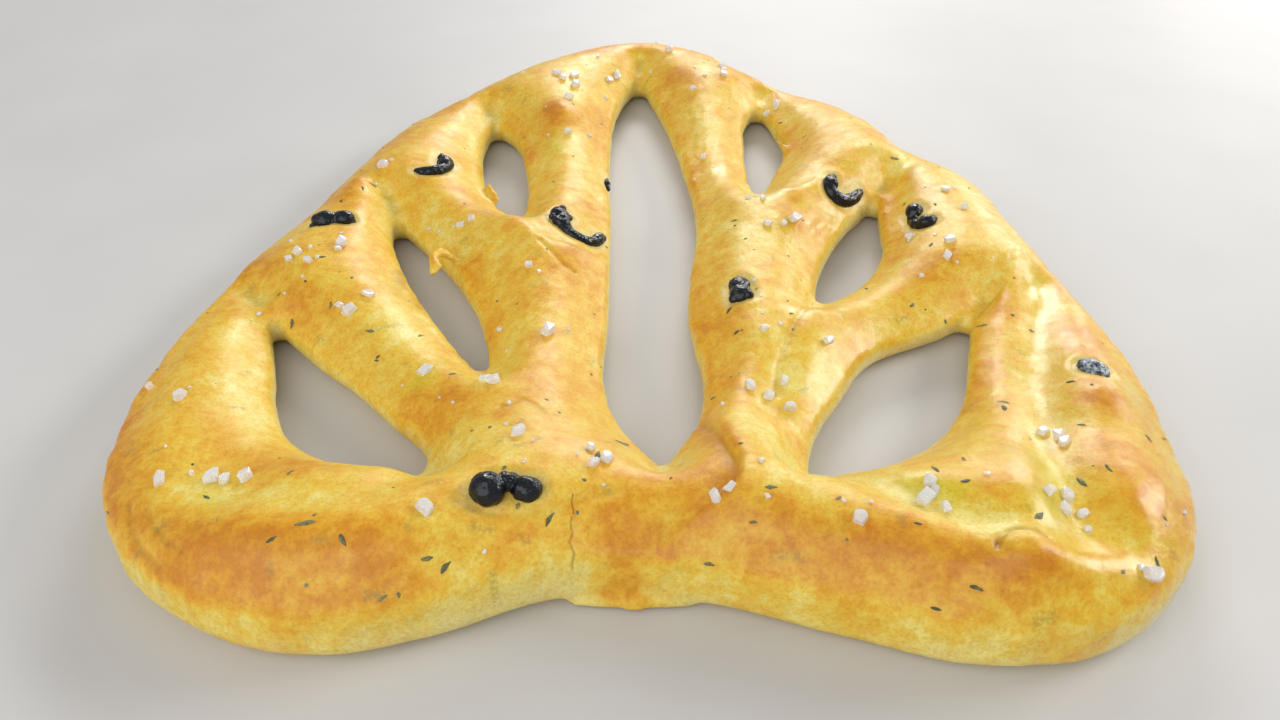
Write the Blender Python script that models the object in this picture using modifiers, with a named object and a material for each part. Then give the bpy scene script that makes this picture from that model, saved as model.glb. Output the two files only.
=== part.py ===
"""Fougasse: a leaf-shaped flatbread, slashed right through seven times, with black olives and coarse salt.

The bread lies flat on its own base. X is across the loaf, +Y runs from the broad end to the tip and
+Z is up. The origin is the middle of the loaf's footprint, on the surface that it lies on.
Plan positions and sizes below are in millimetres, and one factor turns them into metres.
"""

import math
import random

import bmesh
import bpy
import numpy as np
from mathutils import Matrix, Vector
from mathutils.bvhtree import BVHTree
from mathutils.kdtree import KDTree

MM = 0.001

# The dough's own sizes
SLAB = 5.0  # rolled thickness that the loaf is cut from, before it rises
WALL = 3.0  # height of the upright band left at its edge once it has risen
FOOT_LIFT = 4.0  # how far the crust curls up off the tray at the edge
FOOT_WIDTH = 7.0  # and how far in that curl reaches
RISE = 27.5  # how much a very wide stretch of dough rises
REACH = 17.0  # distance over which an edge holds the rise down
RIM_ROUND = 0.5  # how the rise follows that hold at the rim: a half gives a round side
SLIT_ROUND = 0.75  # and at the slits, where the crust runs down more softly
TIP_CREASE = (6.0, 6.0, 0.38)  # crease beyond each end of a slit: its length, its half width, share of the rise lost
RISE_ROUNDS = 500  # relaxation steps, enough for the rise to settle

# Mesh sizes
FIRST_GRID = 2.0
SECOND_GRID = 1.7
BREAD_TRIANGLES = 5200
GAP = 0.4  # air left round each olive, so that neighbouring solids never touch

# The edge of the loaf, from the tip clockwise
OUTLINE = (
    (-9, 167), (24, 159), (42, 137), (58, 120), (80, 101), (92, 84), (100, 59), (117, 44),
    (125, 9), (133, -32), (139, -68), (138, -103), (131, -138), (108, -162), (79, -168), (45, -160),
    (13, -150), (-21, -149), (-50, -160), (-75, -165), (-105, -157), (-131, -134), (-141, -98),
    (-140, -62), (-132, -26), (-117, 15), (-108, 45), (-94, 83), (-67, 121), (-41, 148),
)

# Each slit: its far and near tips, and how far it opened to the right and to the left, at even steps
SLITS = (
    ((-2, 137), (4, -111), (6, 14, 17, 11, 12), (9, 13, 13, 14, 13)),
    ((102, -41), (42, -115), (5, 15, 18, 11), (4, 14, 12, 7)),
    ((-121, -38), (-58, -114.5), (0.5, 1.5, 4.5, 6, 6.5), (2, 9, 17.5, 19, 8.5)),
    ((-89, 17), (-46, -74), (4, 9, 6), (5, 6, 3)),
    ((86, 33), (54, -37), (3, 11, 8), (3, 6, 4)),
    ((-61, 92), (-44, 13), (6, 7, 4), (5, 9, 7)),
    ((48, 109), (41, 29), (5, 10, 4), (5, 5, 3)),
)

# Rounded swellings: middle, reach, height
HUMPS = (
    ((-73, -150), 34, 4.0),
    ((58, -152), 34, 3.5),
    ((-52, -151), 12, 1.5),
    ((86, -155), 10, 4.5),
    ((121, -97), 9, 3.0),
    ((-33, 81), 9, 3.5),
    ((-105, -125), 15, -4.5),
    ((-1, -145), 16, -2.0),
)

# Hollows that run along a line: the line, half width, depth
VALLEYS = (
    (((123, -32), (116, -56), (107, -86), (101, -115), (100, -137)), 8, 6.0),
    (((45, -120), (57, -136), (73, -145), (86, -149), (107, -146)), 6, 3.5),
    (((-51, -124), (-65, -136), (-81, -139), (-97, -133)), 7, 2.5),
    (((43, -43), (40, -61), (38, -77), (34, -94)), 5, 2.0),
    (((112, -29), (107, -36), (100, -47)), 4, 2.0),
    (((84, 6), (87, 21), (91, 39), (98, 46)), 5, 3.0),
    (((-42, -15), (-49, -20), (-52, -28), (-51, -40)), 4, 1.3),
)

# Dough folded over dough: the fold's line, with the raised side on its left, its reach and its height
FOLDS = (
    (((12, -86), (18, -109), (22, -124), (19, -134), (12, -139)), 13, 3.5),
    (((-86, -1), (-88, 9), (-91, 19), (-97, 24)), 14, 3.0),
    (((-23, -16), (-30, -17), (-36, -12), (-43, 0)), 10, 2.0),
    (((62, 27), (52, 19), (42, 24)), 8, 1.8),
)

# Small tags of dough pulled up by the knife: points of a short tapering roll, and its thickness
TAGS = (
    (((-62.5, -15, 11), (-64, -17.5, 15.5), (-66.5, -18, 17.5), (-68.3, -22.3, 17.5), (-66.3, -27.7, 17),
      (-69.2, -27, 15)), 1.8),
    (((-53, 26, 11), (-55, 30.6, 12), (-56.5, 32, 13), (-57, 34.5, 13.5)), 1.5),
    (((55, 66, 11), (53.2, 69, 11.5), (51.4, 72, 12)), 1.3),
    (((-106, 26, 12), (-110, 31, 11)), 3.2),
    (((-19, -147.5, 1.7), (-9, -148.4, 1.7), (3, -148.4, 1.7), (11, -148, 1.7)), 1.7),
)

# Olive rings and scraps: name, the line along its middle, thickness along it, depth of the middle under the crust
OLIVES = (
    ("olive_upper_left",
     ((-82, 31.3), (-79.5, 30.8), (-75.8, 31.8), (-72.8, 36), (-72.5, 40.5), (-75, 43)),
     (1.1, 2.0, 2.4, 2.7, 2.7, 1.8), 0.4),
    ("olive_left_rim",
     ((-111.5, -3.5), (-108.5, -2), (-106, -1.5), (-103.5, -2), (-101, -1), (-97.7, -1.5)),
     (1.0, 2.6, 3.0, 2.4, 2.9, 1.0), 0.5),
    ("olive_left_spine",
     ((-29, 6.5), (-28, 2), (-27.6, -3), (-25, -7.3), (-21, -8.2), (-17.5, -6), (-14.8, -0.5)),
     (1.8, 2.9, 2.9, 2.1, 1.9, 2.3, 2.0), 0.7),
    ("olive_base",
     ((-40.5, -136), (-37.5, -135.6), (-33, -134), (-31, -133.8), (-28, -134.6), (-25, -134.6)),
     (2.6, 5.0, 2.4, 2.7, 3.9, 2.2), 0.6),
    ("olive_right_bar",
     ((66.8, 28.5), (65.2, 25), (65.6, 22), (69, 21), (72.6, 23), (75.6, 26), (77.3, 28.3)),
     (1.9, 2.6, 2.7, 2.7, 2.6, 2.4, 1.7), 0.5),
    ("olive_right_rim",
     ((93.3, 10.5), (92, 6.5), (91, 2), (92.5, -2.5), (95, -3), (96.5, -1)),
     (1.8, 3.0, 1.9, 2.4, 2.6, 1.8), 0.4),
    ("olive_right_spine", ((28.8, -38), (29, -41), (28.9, -44), (28.9, -46)), (2.5, 3.3, 3.2, 2.6), 0.8),
    ("olive_right_edge", ((119.8, -81), (122, -83.5), (124.3, -86)), (1.9, 3.2, 2.1), 1.5),
    ("olive_slit_edge", ((-14.3, 44), (-14, 41), (-13.7, 38)), (0.8, 1.4, 0.9), 0.3),
)

# Pinches of salt: middle, how far the grains scattered, how many
SALT = (
    ((-34, 108), 8, 6), ((-14, 123), 8, 2), ((-31, 90), 1, 1), ((11, 145), 4, 2), ((32, 120), 8, 4),
    ((54, 101), 5, 2), ((21, 106), 1, 1), ((23, 54), 8, 2), ((-28, 66), 2, 1), ((-95, 35), 1, 1),
    ((-62, 0), 4, 2), ((-98, -19), 4, 2), ((-109, -28), 7, 4), ((-88, -45), 9, 3), ((-37, -30), 1, 1),
    ((-32, -64), 6, 2), ((-61, -79), 1, 1), ((-44, -86), 6, 2), ((-31, -115), 3, 2), ((-13, -122), 6, 5),
    ((-137, -86), 2, 1), ((-125, -94), 1, 1), ((-117, -127), 1, 1), ((-100, -125), 6, 5),
    ((-51, -144), 3, 2), ((107, 11), 8, 3), ((88, -8), 1, 1), ((99, -22), 6, 3), ((47, -3), 7, 3),
    ((38, 16), 6, 2), ((35, -48), 1, 1), ((37, -63), 4, 2), ((53, -64), 1, 1), ((35, -90), 9, 4),
    ((18, -139), 4, 2), ((47, -146), 1, 1), ((65, -136), 7, 4), ((103, -111), 6, 3), ((96, -136), 6, 4),
    ((114, -152), 4, 2),
)
GRAIN = (2.6, 4.2)  # smallest and largest grain
GRAIN_SEED = 20
CLEAR_OF_OLIVE = 2.2

CRUST = ("crust", (0.80, 0.48, 0.14), 0.45)
OLIVE_SKIN = ("olive skin", (0.02, 0.02, 0.025), 0.25)


# Small helpers

def clear_scene():
    for obj in list(bpy.data.objects):
        bpy.data.objects.remove(obj, do_unlink=True)


def new_collection(name, hidden=False):
    collection = bpy.data.collections.new(name)
    bpy.context.scene.collection.children.link(collection)
    collection.hide_render = hidden
    return collection


def material(name, colour, roughness):
    made = bpy.data.materials.new(name)
    made.use_nodes = True
    shader = made.node_tree.nodes["Principled BSDF"]
    shader.inputs["Base Color"].default_value = (*colour, 1.0)
    shader.inputs["Roughness"].default_value = roughness
    shader.inputs["Metallic"].default_value = 0.0
    return made


def evaluated_mesh(obj):
    bpy.context.view_layer.update()
    graph = bpy.context.evaluated_depsgraph_get()
    return bpy.data.meshes.new_from_object(obj.evaluated_get(graph), depsgraph=graph)


def bake(obj):
    """Applies the modifiers that the object has so far."""
    mesh = evaluated_mesh(obj)
    obj.modifiers.clear()
    obj.data = mesh


def as_mesh(curve, collection):
    """The curve as a welded mesh object of the same name, in place of the curve."""
    mesh = evaluated_mesh(curve)
    shape = bmesh.new()
    shape.from_mesh(mesh)
    bmesh.ops.remove_doubles(shape, verts=shape.verts, dist=0.01 * MM)
    bmesh.ops.recalc_face_normals(shape, faces=shape.faces)
    shape.to_mesh(mesh)
    shape.free()
    name = curve.name
    place = curve.matrix_world.copy()
    bpy.data.objects.remove(curve, do_unlink=True)
    obj = bpy.data.objects.new(name, mesh)
    obj.matrix_world = place
    collection.objects.link(obj)
    return obj


def points_of(mesh):
    """The mesh's points in millimetres, as an array of rows."""
    points = np.empty(len(mesh.vertices) * 3, np.float64)
    mesh.vertices.foreach_get("co", points)
    return points.reshape(-1, 3) / MM


def set_points(mesh, points):
    mesh.vertices.foreach_set("co", (points * MM).astype(np.float32).ravel())
    mesh.update()


# The rolled and slashed dough

def slit_loop(far, near, right, left):
    """The closed loop of a slit: from its far tip down its right side, round its near tip and back up."""
    far, near = np.array(far, float), np.array(near, float)
    along = near - far
    across = np.array((-along[1], along[0])) / np.linalg.norm(along)
    steps = [(i + 0.5) / len(right) for i in range(len(right))]
    right_side = [far + along * t + across * width for t, width in zip(steps, right)]
    left_side = [far + along * t - across * width for t, width in zip(steps, left)]
    return [far, *right_side, near, *reversed(left_side)]


def add_loop(curve, loop, sharp=()):
    """A closed spline through the loop's points, smooth but for the sharp ones."""
    spline = curve.splines.new("BEZIER")
    spline.bezier_points.add(len(loop) - 1)
    for index, (point, (x, y)) in enumerate(zip(spline.bezier_points, loop)):
        point.co = (x * MM, y * MM, 0)
        point.handle_left_type = point.handle_right_type = "VECTOR" if index in sharp else "AUTO"
    spline.use_cyclic_u = True


def rolled_dough(collection):
    """A flat slab with the loaf's outline, the slits cut through it."""
    curve = bpy.data.curves.new("bread", "CURVE")
    curve.dimensions = "2D"
    curve.fill_mode = "BOTH"
    curve.extrude = SLAB / 2 * MM
    curve.resolution_u = 10
    add_loop(curve, OUTLINE)
    for slit in SLITS:
        add_loop(curve, slit_loop(*slit), sharp=(0, len(slit[2]) + 1))
    obj = bpy.data.objects.new("bread", curve)
    obj.location.z = SLAB / 2 * MM
    collection.objects.link(obj)
    slab = as_mesh(obj, collection)
    slab.data.transform(slab.matrix_world)
    slab.matrix_world = Matrix.Identity(4)
    return slab


def regrid(obj, size):
    """Replaces the object's faces by an even grid of that size."""
    remesh = obj.modifiers.new("grid", "REMESH")
    remesh.mode = "VOXEL"
    remesh.voxel_size = size * MM
    bake(obj)


# The risen dough

def distance_to_line(plan, line):
    """For each row of plan, the distance to the line, and which side of it the row lies on (+1 left)."""
    best = np.full(len(plan), np.inf)
    side = np.zeros(len(plan))
    for start, end in zip(line[:-1], line[1:]):
        start, end = np.array(start, float), np.array(end, float)
        along = end - start
        offset = plan - start
        t = np.clip(offset @ along / (along @ along), 0, 1)
        away = np.linalg.norm(offset - t[:, None] * along, axis=1)
        turn = along[0] * offset[:, 1] - along[1] * offset[:, 0]
        nearer = away < best
        side[nearer] = np.sign(turn[nearer])
        best[nearer] = away[nearer]
    return best, side


def tip_creases(plan):
    """Share of the rise lost to the crease that runs on beyond each end of a slit."""
    length, width, loss = TIP_CREASE
    lost = np.zeros(len(plan))
    for far, near, _, _ in SLITS:
        far, near = np.array(far, float), np.array(near, float)
        along = (near - far) / np.linalg.norm(near - far)
        for line in ((far, far - along * length), (near, near + along * length)):
            away, _ = distance_to_line(plan, line)
            lost = np.maximum(lost, loss * np.exp(-((away / width) ** 2)))
    return lost


def shaping(plan):
    """Height that humps, valleys and folds add to the top of the dough, in millimetres."""
    added = np.zeros(len(plan))
    for middle, reach, height in HUMPS:
        away = np.linalg.norm(plan - np.array(middle, float), axis=1)
        added += height * np.exp(-((away / reach) ** 2))
    for line, width, depth in VALLEYS:
        away, _ = distance_to_line(plan, line)
        added -= depth * np.exp(-((away / width) ** 2))
    for line, reach, height in FOLDS:
        away, side = distance_to_line(plan, line)
        raised = 0.5 + 0.5 * np.tanh(side * away / 1.2)
        added += height * raised * np.exp(-((away / reach) ** 2))
    return added


def risen_share(mesh, top, wall):
    """How far each top point has risen, from 0 at an edge to 1 far from any edge.

    The share relaxes to the solution of a screened Poisson equation, which gives a strand of dough
    a round back, and a wide stretch a flat one.
    """
    edges = np.empty(len(mesh.edges) * 2, np.int64)
    mesh.edges.foreach_get("vertices", edges)
    edges = edges.reshape(-1, 2)
    edges = edges[(top | wall)[edges].all(axis=1)]
    a, b = edges[:, 0], edges[:, 1]
    count = len(mesh.vertices)
    degree = np.bincount(a, minlength=count) + np.bincount(b, minlength=count)
    pull = (FIRST_GRID / REACH) ** 2
    share = np.zeros(count)
    for _ in range(RISE_ROUNDS):
        around = np.bincount(a, share[b], count) + np.bincount(b, share[a], count)
        share = np.where(top, (around + pull) / (degree + pull), 0.0)
    return share


def nearest(plan, others):
    """Distance from each row of plan to the nearest of the others."""
    tree = KDTree(len(others))
    for index, (x, y) in enumerate(others):
        tree.insert((x, y, 0), index)
    tree.balance()
    return np.array([tree.find((x, y, 0))[2] for x, y in plan])


def plumpness(plan):
    """The broad end holds more dough than the rest."""
    return 1.0 + 0.22 / (1 + np.exp((plan[:, 1] + 120) / 8))


def raise_dough(obj):
    """Turns the flat slab into the risen loaf: a domed top, round edges and a flat foot."""
    mesh = obj.data
    points = points_of(mesh)
    height = points[:, 2] / SLAB
    top, wall = height > 0.8, (height >= 0.2) & (height <= 0.8)
    share = risen_share(mesh, top, wall)
    plan = points[:, :2]
    at_rim = distance_to_line(plan, OUTLINE + OUTLINE[:1])[0] < 6
    from_rim = nearest(plan, plan[wall & at_rim])
    from_slit = nearest(plan, plan[wall & ~at_rim])
    inset = np.minimum(from_rim, from_slit)
    curl = FOOT_LIFT * np.clip(1 - inset / FOOT_WIDTH, 0, 1) ** 2
    power = RIM_ROUND + (SLIT_ROUND - RIM_ROUND) * from_rim / (from_rim + from_slit + 0.01)
    held = np.clip(inset / 9, 0, 1)
    risen = RISE * plumpness(plan) * share**power * (1 - tip_creases(plan)) + shaping(plan) * held
    points[:, 2] = curl + height * WALL + np.where(top, np.maximum(risen, 0), 0)
    set_points(mesh, points)


def add_tags(bread, collection):
    """Lays the small tags of dough on the loaf, to be fused by the next grid."""
    shape = bmesh.new()
    shape.from_mesh(bread.data)
    for index, (line, thickness) in enumerate(TAGS):
        tag = roll(f"tag_{index}", line, [thickness * s for s in taper(len(line))], collection)
        shape.from_mesh(tag.data)
        bpy.data.objects.remove(tag, do_unlink=True)
    shape.to_mesh(bread.data)
    shape.free()


def taper(count):
    """Thickness along a short roll: full in the middle, less at its ends."""
    return [0.6 + 0.4 * math.sin(math.pi * (i + 0.5) / count) for i in range(count)]


def roll(name, line, radii, collection):
    """A roll with round ends along a line of points, as thick at each point as radii says."""
    curve = bpy.data.curves.new(name, "CURVE")
    curve.dimensions = "3D"
    curve.bevel_depth = MM
    curve.bevel_resolution = 1
    curve.resolution_u = 2
    curve.use_fill_caps = True
    spline = curve.splines.new("BEZIER")
    spline.bezier_points.add(len(line) - 1)
    for point, place, radius in zip(spline.bezier_points, line, radii):
        point.co = Vector(place) * MM
        point.radius = radius
        point.handle_left_type = point.handle_right_type = "AUTO"
    obj = bpy.data.objects.new(name, curve)
    collection.objects.link(obj)
    return as_mesh(obj, collection)


def settle(obj):
    """Smooths the gridded loaf and sets its foot flat on the tray."""
    smooth = obj.modifiers.new("smooth", "SMOOTH")
    smooth.factor = 0.5
    smooth.iterations = 4
    bake(obj)
    flatten_foot(obj.data)


def flatten_foot(mesh, within=0.35):
    points = points_of(mesh)
    points[:, 2] -= points[:, 2].min()
    points[points[:, 2] < within, 2] = 0.0
    set_points(mesh, points)


def simplify(obj, triangles):
    thin = obj.modifiers.new("fewer faces", "DECIMATE")
    thin.ratio = triangles / sum(len(face.vertices) - 2 for face in obj.data.polygons)
    thin.use_collapse_triangulate = True
    bake(obj)
    flatten_foot(obj.data)


# Olives

def surface_tree(obj):
    """The object's surface, for looking up the nearest place or the place below a point."""
    bpy.context.view_layer.update()
    return BVHTree.FromObject(obj, bpy.context.evaluated_depsgraph_get())


def height_over(tree, x, y):
    """Height of the crust at the plan point, or of the nearest crust where the point lies over a slit."""
    place = tree.ray_cast(Vector((x * MM, y * MM, 1.0)), Vector((0, 0, -1)))[0]
    place = place or tree.find_nearest(Vector((x * MM, y * MM, RISE * MM)))[0]
    return place.z / MM


def bed_olives(bread, parts, cutters):
    """Sets each olive piece into the crust, and cuts its seat, a little larger, from the bread."""
    tree = surface_tree(bread)
    skin = material(*OLIVE_SKIN)
    for name, plan, radii, depth in OLIVES:
        line = [(x, y, height_over(tree, x, y) - depth) for x, y in plan]
        olive = roll(name, line, radii, parts)
        olive.data.materials.append(skin)
        olive.data.shade_smooth()
        seat = roll(f"seat_{name}", lengthened(line, GAP), [r + GAP for r in radii], cutters)
        seat.hide_render = True
        seat.display_type = "WIRE"


def lengthened(line, extra):
    """The same line with both ends moved out by a little."""
    points = [Vector(p) for p in line]
    first = points[0] + (points[0] - points[1]).normalized() * extra
    last = points[-1] + (points[-1] - points[-2]).normalized() * extra
    return [first, *points[1:-1], last]


# Salt

def grain_shape(rng, size):
    """A blocky, uneven crystal."""
    shape = bmesh.new()
    bmesh.ops.create_icosphere(shape, subdivisions=1, radius=size / 2 * MM)
    squash = Vector((rng.uniform(0.9, 1.25), rng.uniform(0.75, 1.0), rng.uniform(0.6, 0.85)))
    for vertex in shape.verts:
        vertex.co = vertex.co * squash * rng.uniform(0.86, 1.12)
    return shape


def strewn(rng):
    """Plan places of the grains, pinch by pinch."""
    for (x, y), scatter, count in SALT:
        for _ in range(count):
            angle = rng.uniform(0, 2 * math.pi)
            away = scatter * math.sqrt(rng.uniform(0, 1))
            yield x + away * math.cos(angle), y + away * math.sin(angle)


def strew_salt(bread, olives, helpers):
    """One object per grain, pressed a little into the crust and clear of the olives and the slits."""
    tree = surface_tree(bread)
    olive_trees = [surface_tree(olive) for olive in olives]
    rng = random.Random(GRAIN_SEED)
    taken = []
    for index, (x, y) in enumerate(strewn(rng)):
        size = rng.uniform(*GRAIN)
        spin = rng.uniform(0, 2 * math.pi)
        shape = grain_shape(rng, size)
        place, normal, _, _ = tree.ray_cast(Vector((x * MM, y * MM, 1.0)), Vector((0, 0, -1)))
        crowded = place is None or normal.z < 0.35 or place.z < 6 * MM
        crowded = crowded or any((place - other).length < size * MM for other in taken)
        reach = (size / 2 + CLEAR_OF_OLIVE) * MM
        crowded = crowded or any(t.find_nearest(place, reach)[0] is not None for t in olive_trees)
        if not crowded:
            taken.append(place)
            mesh = bpy.data.meshes.new(f"grain_{index}")
            shape.to_mesh(mesh)
            grain = bpy.data.objects.new(mesh.name, mesh)
            turn = normal.to_track_quat("Z", "Y") @ Matrix.Rotation(spin, 3, "Z").to_quaternion()
            grain.matrix_world = Matrix.Translation(place + normal * 0.12 * size * MM) @ turn.to_matrix().to_4x4()
            helpers.objects.link(grain)
        shape.free()
    return len(taken)


def combine(bread, operation, collection):
    """Cuts or joins a whole collection at once, then removes it."""
    joint = bread.modifiers.new(operation.lower(), "BOOLEAN")
    joint.operation = operation
    joint.operand_type = "COLLECTION"
    joint.collection = collection
    joint.solver = "EXACT"
    bake(bread)
    for obj in list(collection.objects):
        bpy.data.objects.remove(obj, do_unlink=True)
    bpy.data.collections.remove(collection)


def main():
    clear_scene()
    parts = new_collection("fougasse")
    seats = new_collection("olive seats", hidden=True)
    salt = new_collection("salt", hidden=True)
    bread = rolled_dough(parts)
    regrid(bread, FIRST_GRID)
    raise_dough(bread)
    add_tags(bread, parts)
    regrid(bread, SECOND_GRID)
    settle(bread)
    simplify(bread, BREAD_TRIANGLES)
    bed_olives(bread, parts, seats)
    olives = [obj for obj in parts.objects if obj is not bread]
    grains = strew_salt(bread, olives, salt)
    combine(bread, "DIFFERENCE", seats)
    combine(bread, "UNION", salt)
    bread.data.materials.clear()
    bread.data.materials.append(material(*CRUST))
    bread.data.shade_smooth()
    bread.data.set_sharp_from_angle(angle=math.radians(40))
    print(f"{len(olives)} olive pieces, {grains} grains of salt, {len(bread.data.polygons)} faces in the bread")


main()
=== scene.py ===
# %% [markdown]
# # A fougasse in Blender
#
# A fougasse is a flat loaf, slashed right through with a knife and pulled open, so that it bakes
# into the shape of a leaf. This one carries pieces of black olive, dried herbs and coarse salt.
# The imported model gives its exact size. This lesson gives it a fine surface, its colours and light.

import itertools
import math
import random

import bmesh
import bpy
import numpy as np
from mathutils import Matrix, Vector, noise
from mathutils.bvhtree import BVHTree
from mathutils.kdtree import KDTree


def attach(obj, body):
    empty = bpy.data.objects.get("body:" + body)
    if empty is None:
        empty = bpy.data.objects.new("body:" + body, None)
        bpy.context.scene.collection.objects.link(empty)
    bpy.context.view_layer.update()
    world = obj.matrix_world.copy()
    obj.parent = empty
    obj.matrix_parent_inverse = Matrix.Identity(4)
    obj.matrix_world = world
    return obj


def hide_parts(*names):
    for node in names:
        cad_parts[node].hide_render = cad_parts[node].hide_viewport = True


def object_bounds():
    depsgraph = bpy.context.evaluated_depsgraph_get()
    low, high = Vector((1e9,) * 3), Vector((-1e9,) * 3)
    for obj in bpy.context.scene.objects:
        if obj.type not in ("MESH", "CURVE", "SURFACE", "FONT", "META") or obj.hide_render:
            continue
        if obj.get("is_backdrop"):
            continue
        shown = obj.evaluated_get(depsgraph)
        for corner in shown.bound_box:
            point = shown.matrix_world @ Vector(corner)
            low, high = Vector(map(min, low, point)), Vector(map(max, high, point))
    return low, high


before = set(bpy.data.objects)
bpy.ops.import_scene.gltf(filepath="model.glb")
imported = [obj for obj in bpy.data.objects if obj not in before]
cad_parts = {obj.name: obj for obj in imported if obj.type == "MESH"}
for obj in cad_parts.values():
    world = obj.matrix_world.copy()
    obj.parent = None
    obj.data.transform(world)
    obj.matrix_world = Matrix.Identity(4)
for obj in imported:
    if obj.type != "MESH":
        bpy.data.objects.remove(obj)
cad_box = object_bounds()
MM = 0.001
print("the model holds", sorted(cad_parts))

# %% [markdown]
# ## The camera
#
# The bread was photographed from its broad end, close by and from above. A camera can be aimed by
# a constraint, or turned by hand. It is turned by hand here, because one tilt angle is enough.

# %% Set up the camera
CAMERA_PLACE = (-1.8, -311.1, 203.8)  # millimetres from the middle of the loaf
CAMERA_TILT = 38.26  # degrees that it looks down
LENS = 29.95  # millimetres, on a film 36 mm wide

eye = bpy.data.objects.new("eye", bpy.data.cameras.new("eye"))
eye.data.sensor_width = 36
eye.data.lens = LENS
eye.data.clip_start = 10 * MM
eye.location = Vector(CAMERA_PLACE) * MM
eye.rotation_euler = (math.radians(90 - CAMERA_TILT), 0, 0)
bpy.context.scene.collection.objects.link(eye)
bpy.context.scene.camera = eye
print("the camera stands", round(eye.location.length / MM), "mm from the middle of the bread")

# %% [markdown]
# ## The light
#
# The light is daylight. The shine on the crust and on the olives gives its place: a bank of low
# windows, from the right of the loaf round to behind it, in a bright room. Three area lights stand
# for the windows, a large one for the room in front, and a pale world for the rest. Smaller lamps
# would give harder shadows.

# %% Hang the lights
LAMPS = {  # place, size in mm, watts
    "right window": ((1220, 300, 640), (560, 300), 8.8),
    "back window": ((170, 1250, 620), (640, 260), 8.5),
    "far window": ((800, 960, 330), (330, 190), 2.6),
    "room": ((-520, -860, 760), (1700, 1200), 11.5),
}
DAYLIGHT = (1.0, 0.98, 0.96)
SKY, SKY_STRENGTH = (0.96, 0.98, 1.0), 0.36


def hang_light(name, place, size, watts):
    lamp = bpy.data.lights.new(name, "AREA")
    lamp.shape = "RECTANGLE"
    lamp.size, lamp.size_y = size[0] * MM, size[1] * MM
    lamp.energy = watts
    lamp.color = DAYLIGHT
    hung = bpy.data.objects.new(name, lamp)
    hung.location = Vector(place) * MM
    hung.rotation_euler = (-hung.location).to_track_quat("-Z", "Y").to_euler()
    bpy.context.scene.collection.objects.link(hung)


for name, lamp in LAMPS.items():
    hang_light(name, *lamp)
world = bpy.data.worlds.new("sky")
world.use_nodes = True
background = world.node_tree.nodes["Background"]
background.inputs["Color"].default_value = (*SKY, 1)
background.inputs["Strength"].default_value = SKY_STRENGTH
bpy.context.scene.world = world
bpy.context.scene.view_settings.view_transform = "Standard"

# %% [markdown]
# ## The shape of the loaf
#
# The dough is rolled flat, cut to an outline, slashed and pulled open. The numbers below are the
# driving sizes of the real loaf, in millimetres. X runs across the loaf and Y from its broad end
# to its tip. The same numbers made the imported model, so the fine surface lies where that model is.

# %% The sizes of the dough
SLAB = 5.0  # rolled thickness
WALL = 3.0  # height of the upright band at the edge of the risen loaf
FOOT_LIFT, FOOT_WIDTH = 4.0, 7.0  # how far the crust curls up at the edge, and how far in
RISE = 27.5  # how much a very wide stretch of dough rises
REACH = 17.0  # distance over which an edge holds the rise down
RIM_ROUND, SLIT_ROUND = 0.5, 0.75  # how the rise follows that hold, at the rim and at the slits
TIP_CREASE = (6.0, 6.0, 0.38)  # crease beyond each slit: its length, half width, share of the rise lost
PLUMP_END = (0.22, -120, 8)  # extra share of rise at the broad end, where it starts, how gently

OUTLINE = (
    (-9, 167), (24, 159), (42, 137), (58, 120), (80, 101), (92, 84), (100, 59), (117, 44),
    (125, 9), (133, -32), (139, -68), (138, -103), (131, -138), (108, -162), (79, -168), (45, -160),
    (13, -150), (-21, -149), (-50, -160), (-75, -165), (-105, -157), (-131, -134), (-141, -98),
    (-140, -62), (-132, -26), (-117, 15), (-108, 45), (-94, 83), (-67, 121), (-41, 148),
)

# Each slit: its far and near tips, and how far it opened to the right and to the left, at even steps
SLITS = (
    ((-2, 137), (4, -111), (6, 14, 17, 11, 12), (9, 13, 13, 14, 13)),
    ((102, -41), (42, -115), (5, 15, 18, 11), (4, 14, 12, 7)),
    ((-121, -38), (-58, -114.5), (0.5, 1.5, 4.5, 6, 6.5), (2, 9, 17.5, 19, 8.5)),
    ((-89, 17), (-46, -74), (4, 9, 6), (5, 6, 3)),
    ((86, 33), (54, -37), (3, 11, 8), (3, 6, 4)),
    ((-61, 92), (-44, 13), (6, 7, 4), (5, 9, 7)),
    ((48, 109), (41, 29), (5, 10, 4), (5, 5, 3)),
)
print(len(OUTLINE), "points round the edge,", len(SLITS), "slits")

# %% [markdown]
# ### Rolling and slashing
#
# A flat sheet with holes can be a mesh cut by Booleans, or a 2D curve whose inner splines are
# holes. The curve needs no cutting: each slit is one more closed spline. It is extruded to the
# thickness of the rolled dough, and a Remesh modifier then lays an even grid over it, which the
# rising dough needs.

# %% Helpers for meshes
WELD = 0.01  # millimetres within which two points become one


def evaluated_mesh(obj):
    bpy.context.view_layer.update()
    graph = bpy.context.evaluated_depsgraph_get()
    return bpy.data.meshes.new_from_object(obj.evaluated_get(graph), depsgraph=graph)


def bake(obj):
    """Applies the modifiers that the object has so far."""
    mesh = evaluated_mesh(obj)
    obj.modifiers.clear()
    obj.data = mesh


def as_mesh(curve):
    """The curve as a welded mesh object of the same name, in place of the curve."""
    mesh = evaluated_mesh(curve)
    shape = bmesh.new()
    shape.from_mesh(mesh)
    bmesh.ops.remove_doubles(shape, verts=shape.verts, dist=WELD * MM)
    bmesh.ops.recalc_face_normals(shape, faces=shape.faces)
    shape.to_mesh(mesh)
    shape.free()
    mesh.transform(curve.matrix_world)
    name = curve.name
    bpy.data.objects.remove(curve, do_unlink=True)
    obj = bpy.data.objects.new(name, mesh)
    bpy.context.scene.collection.objects.link(obj)
    return obj


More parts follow.
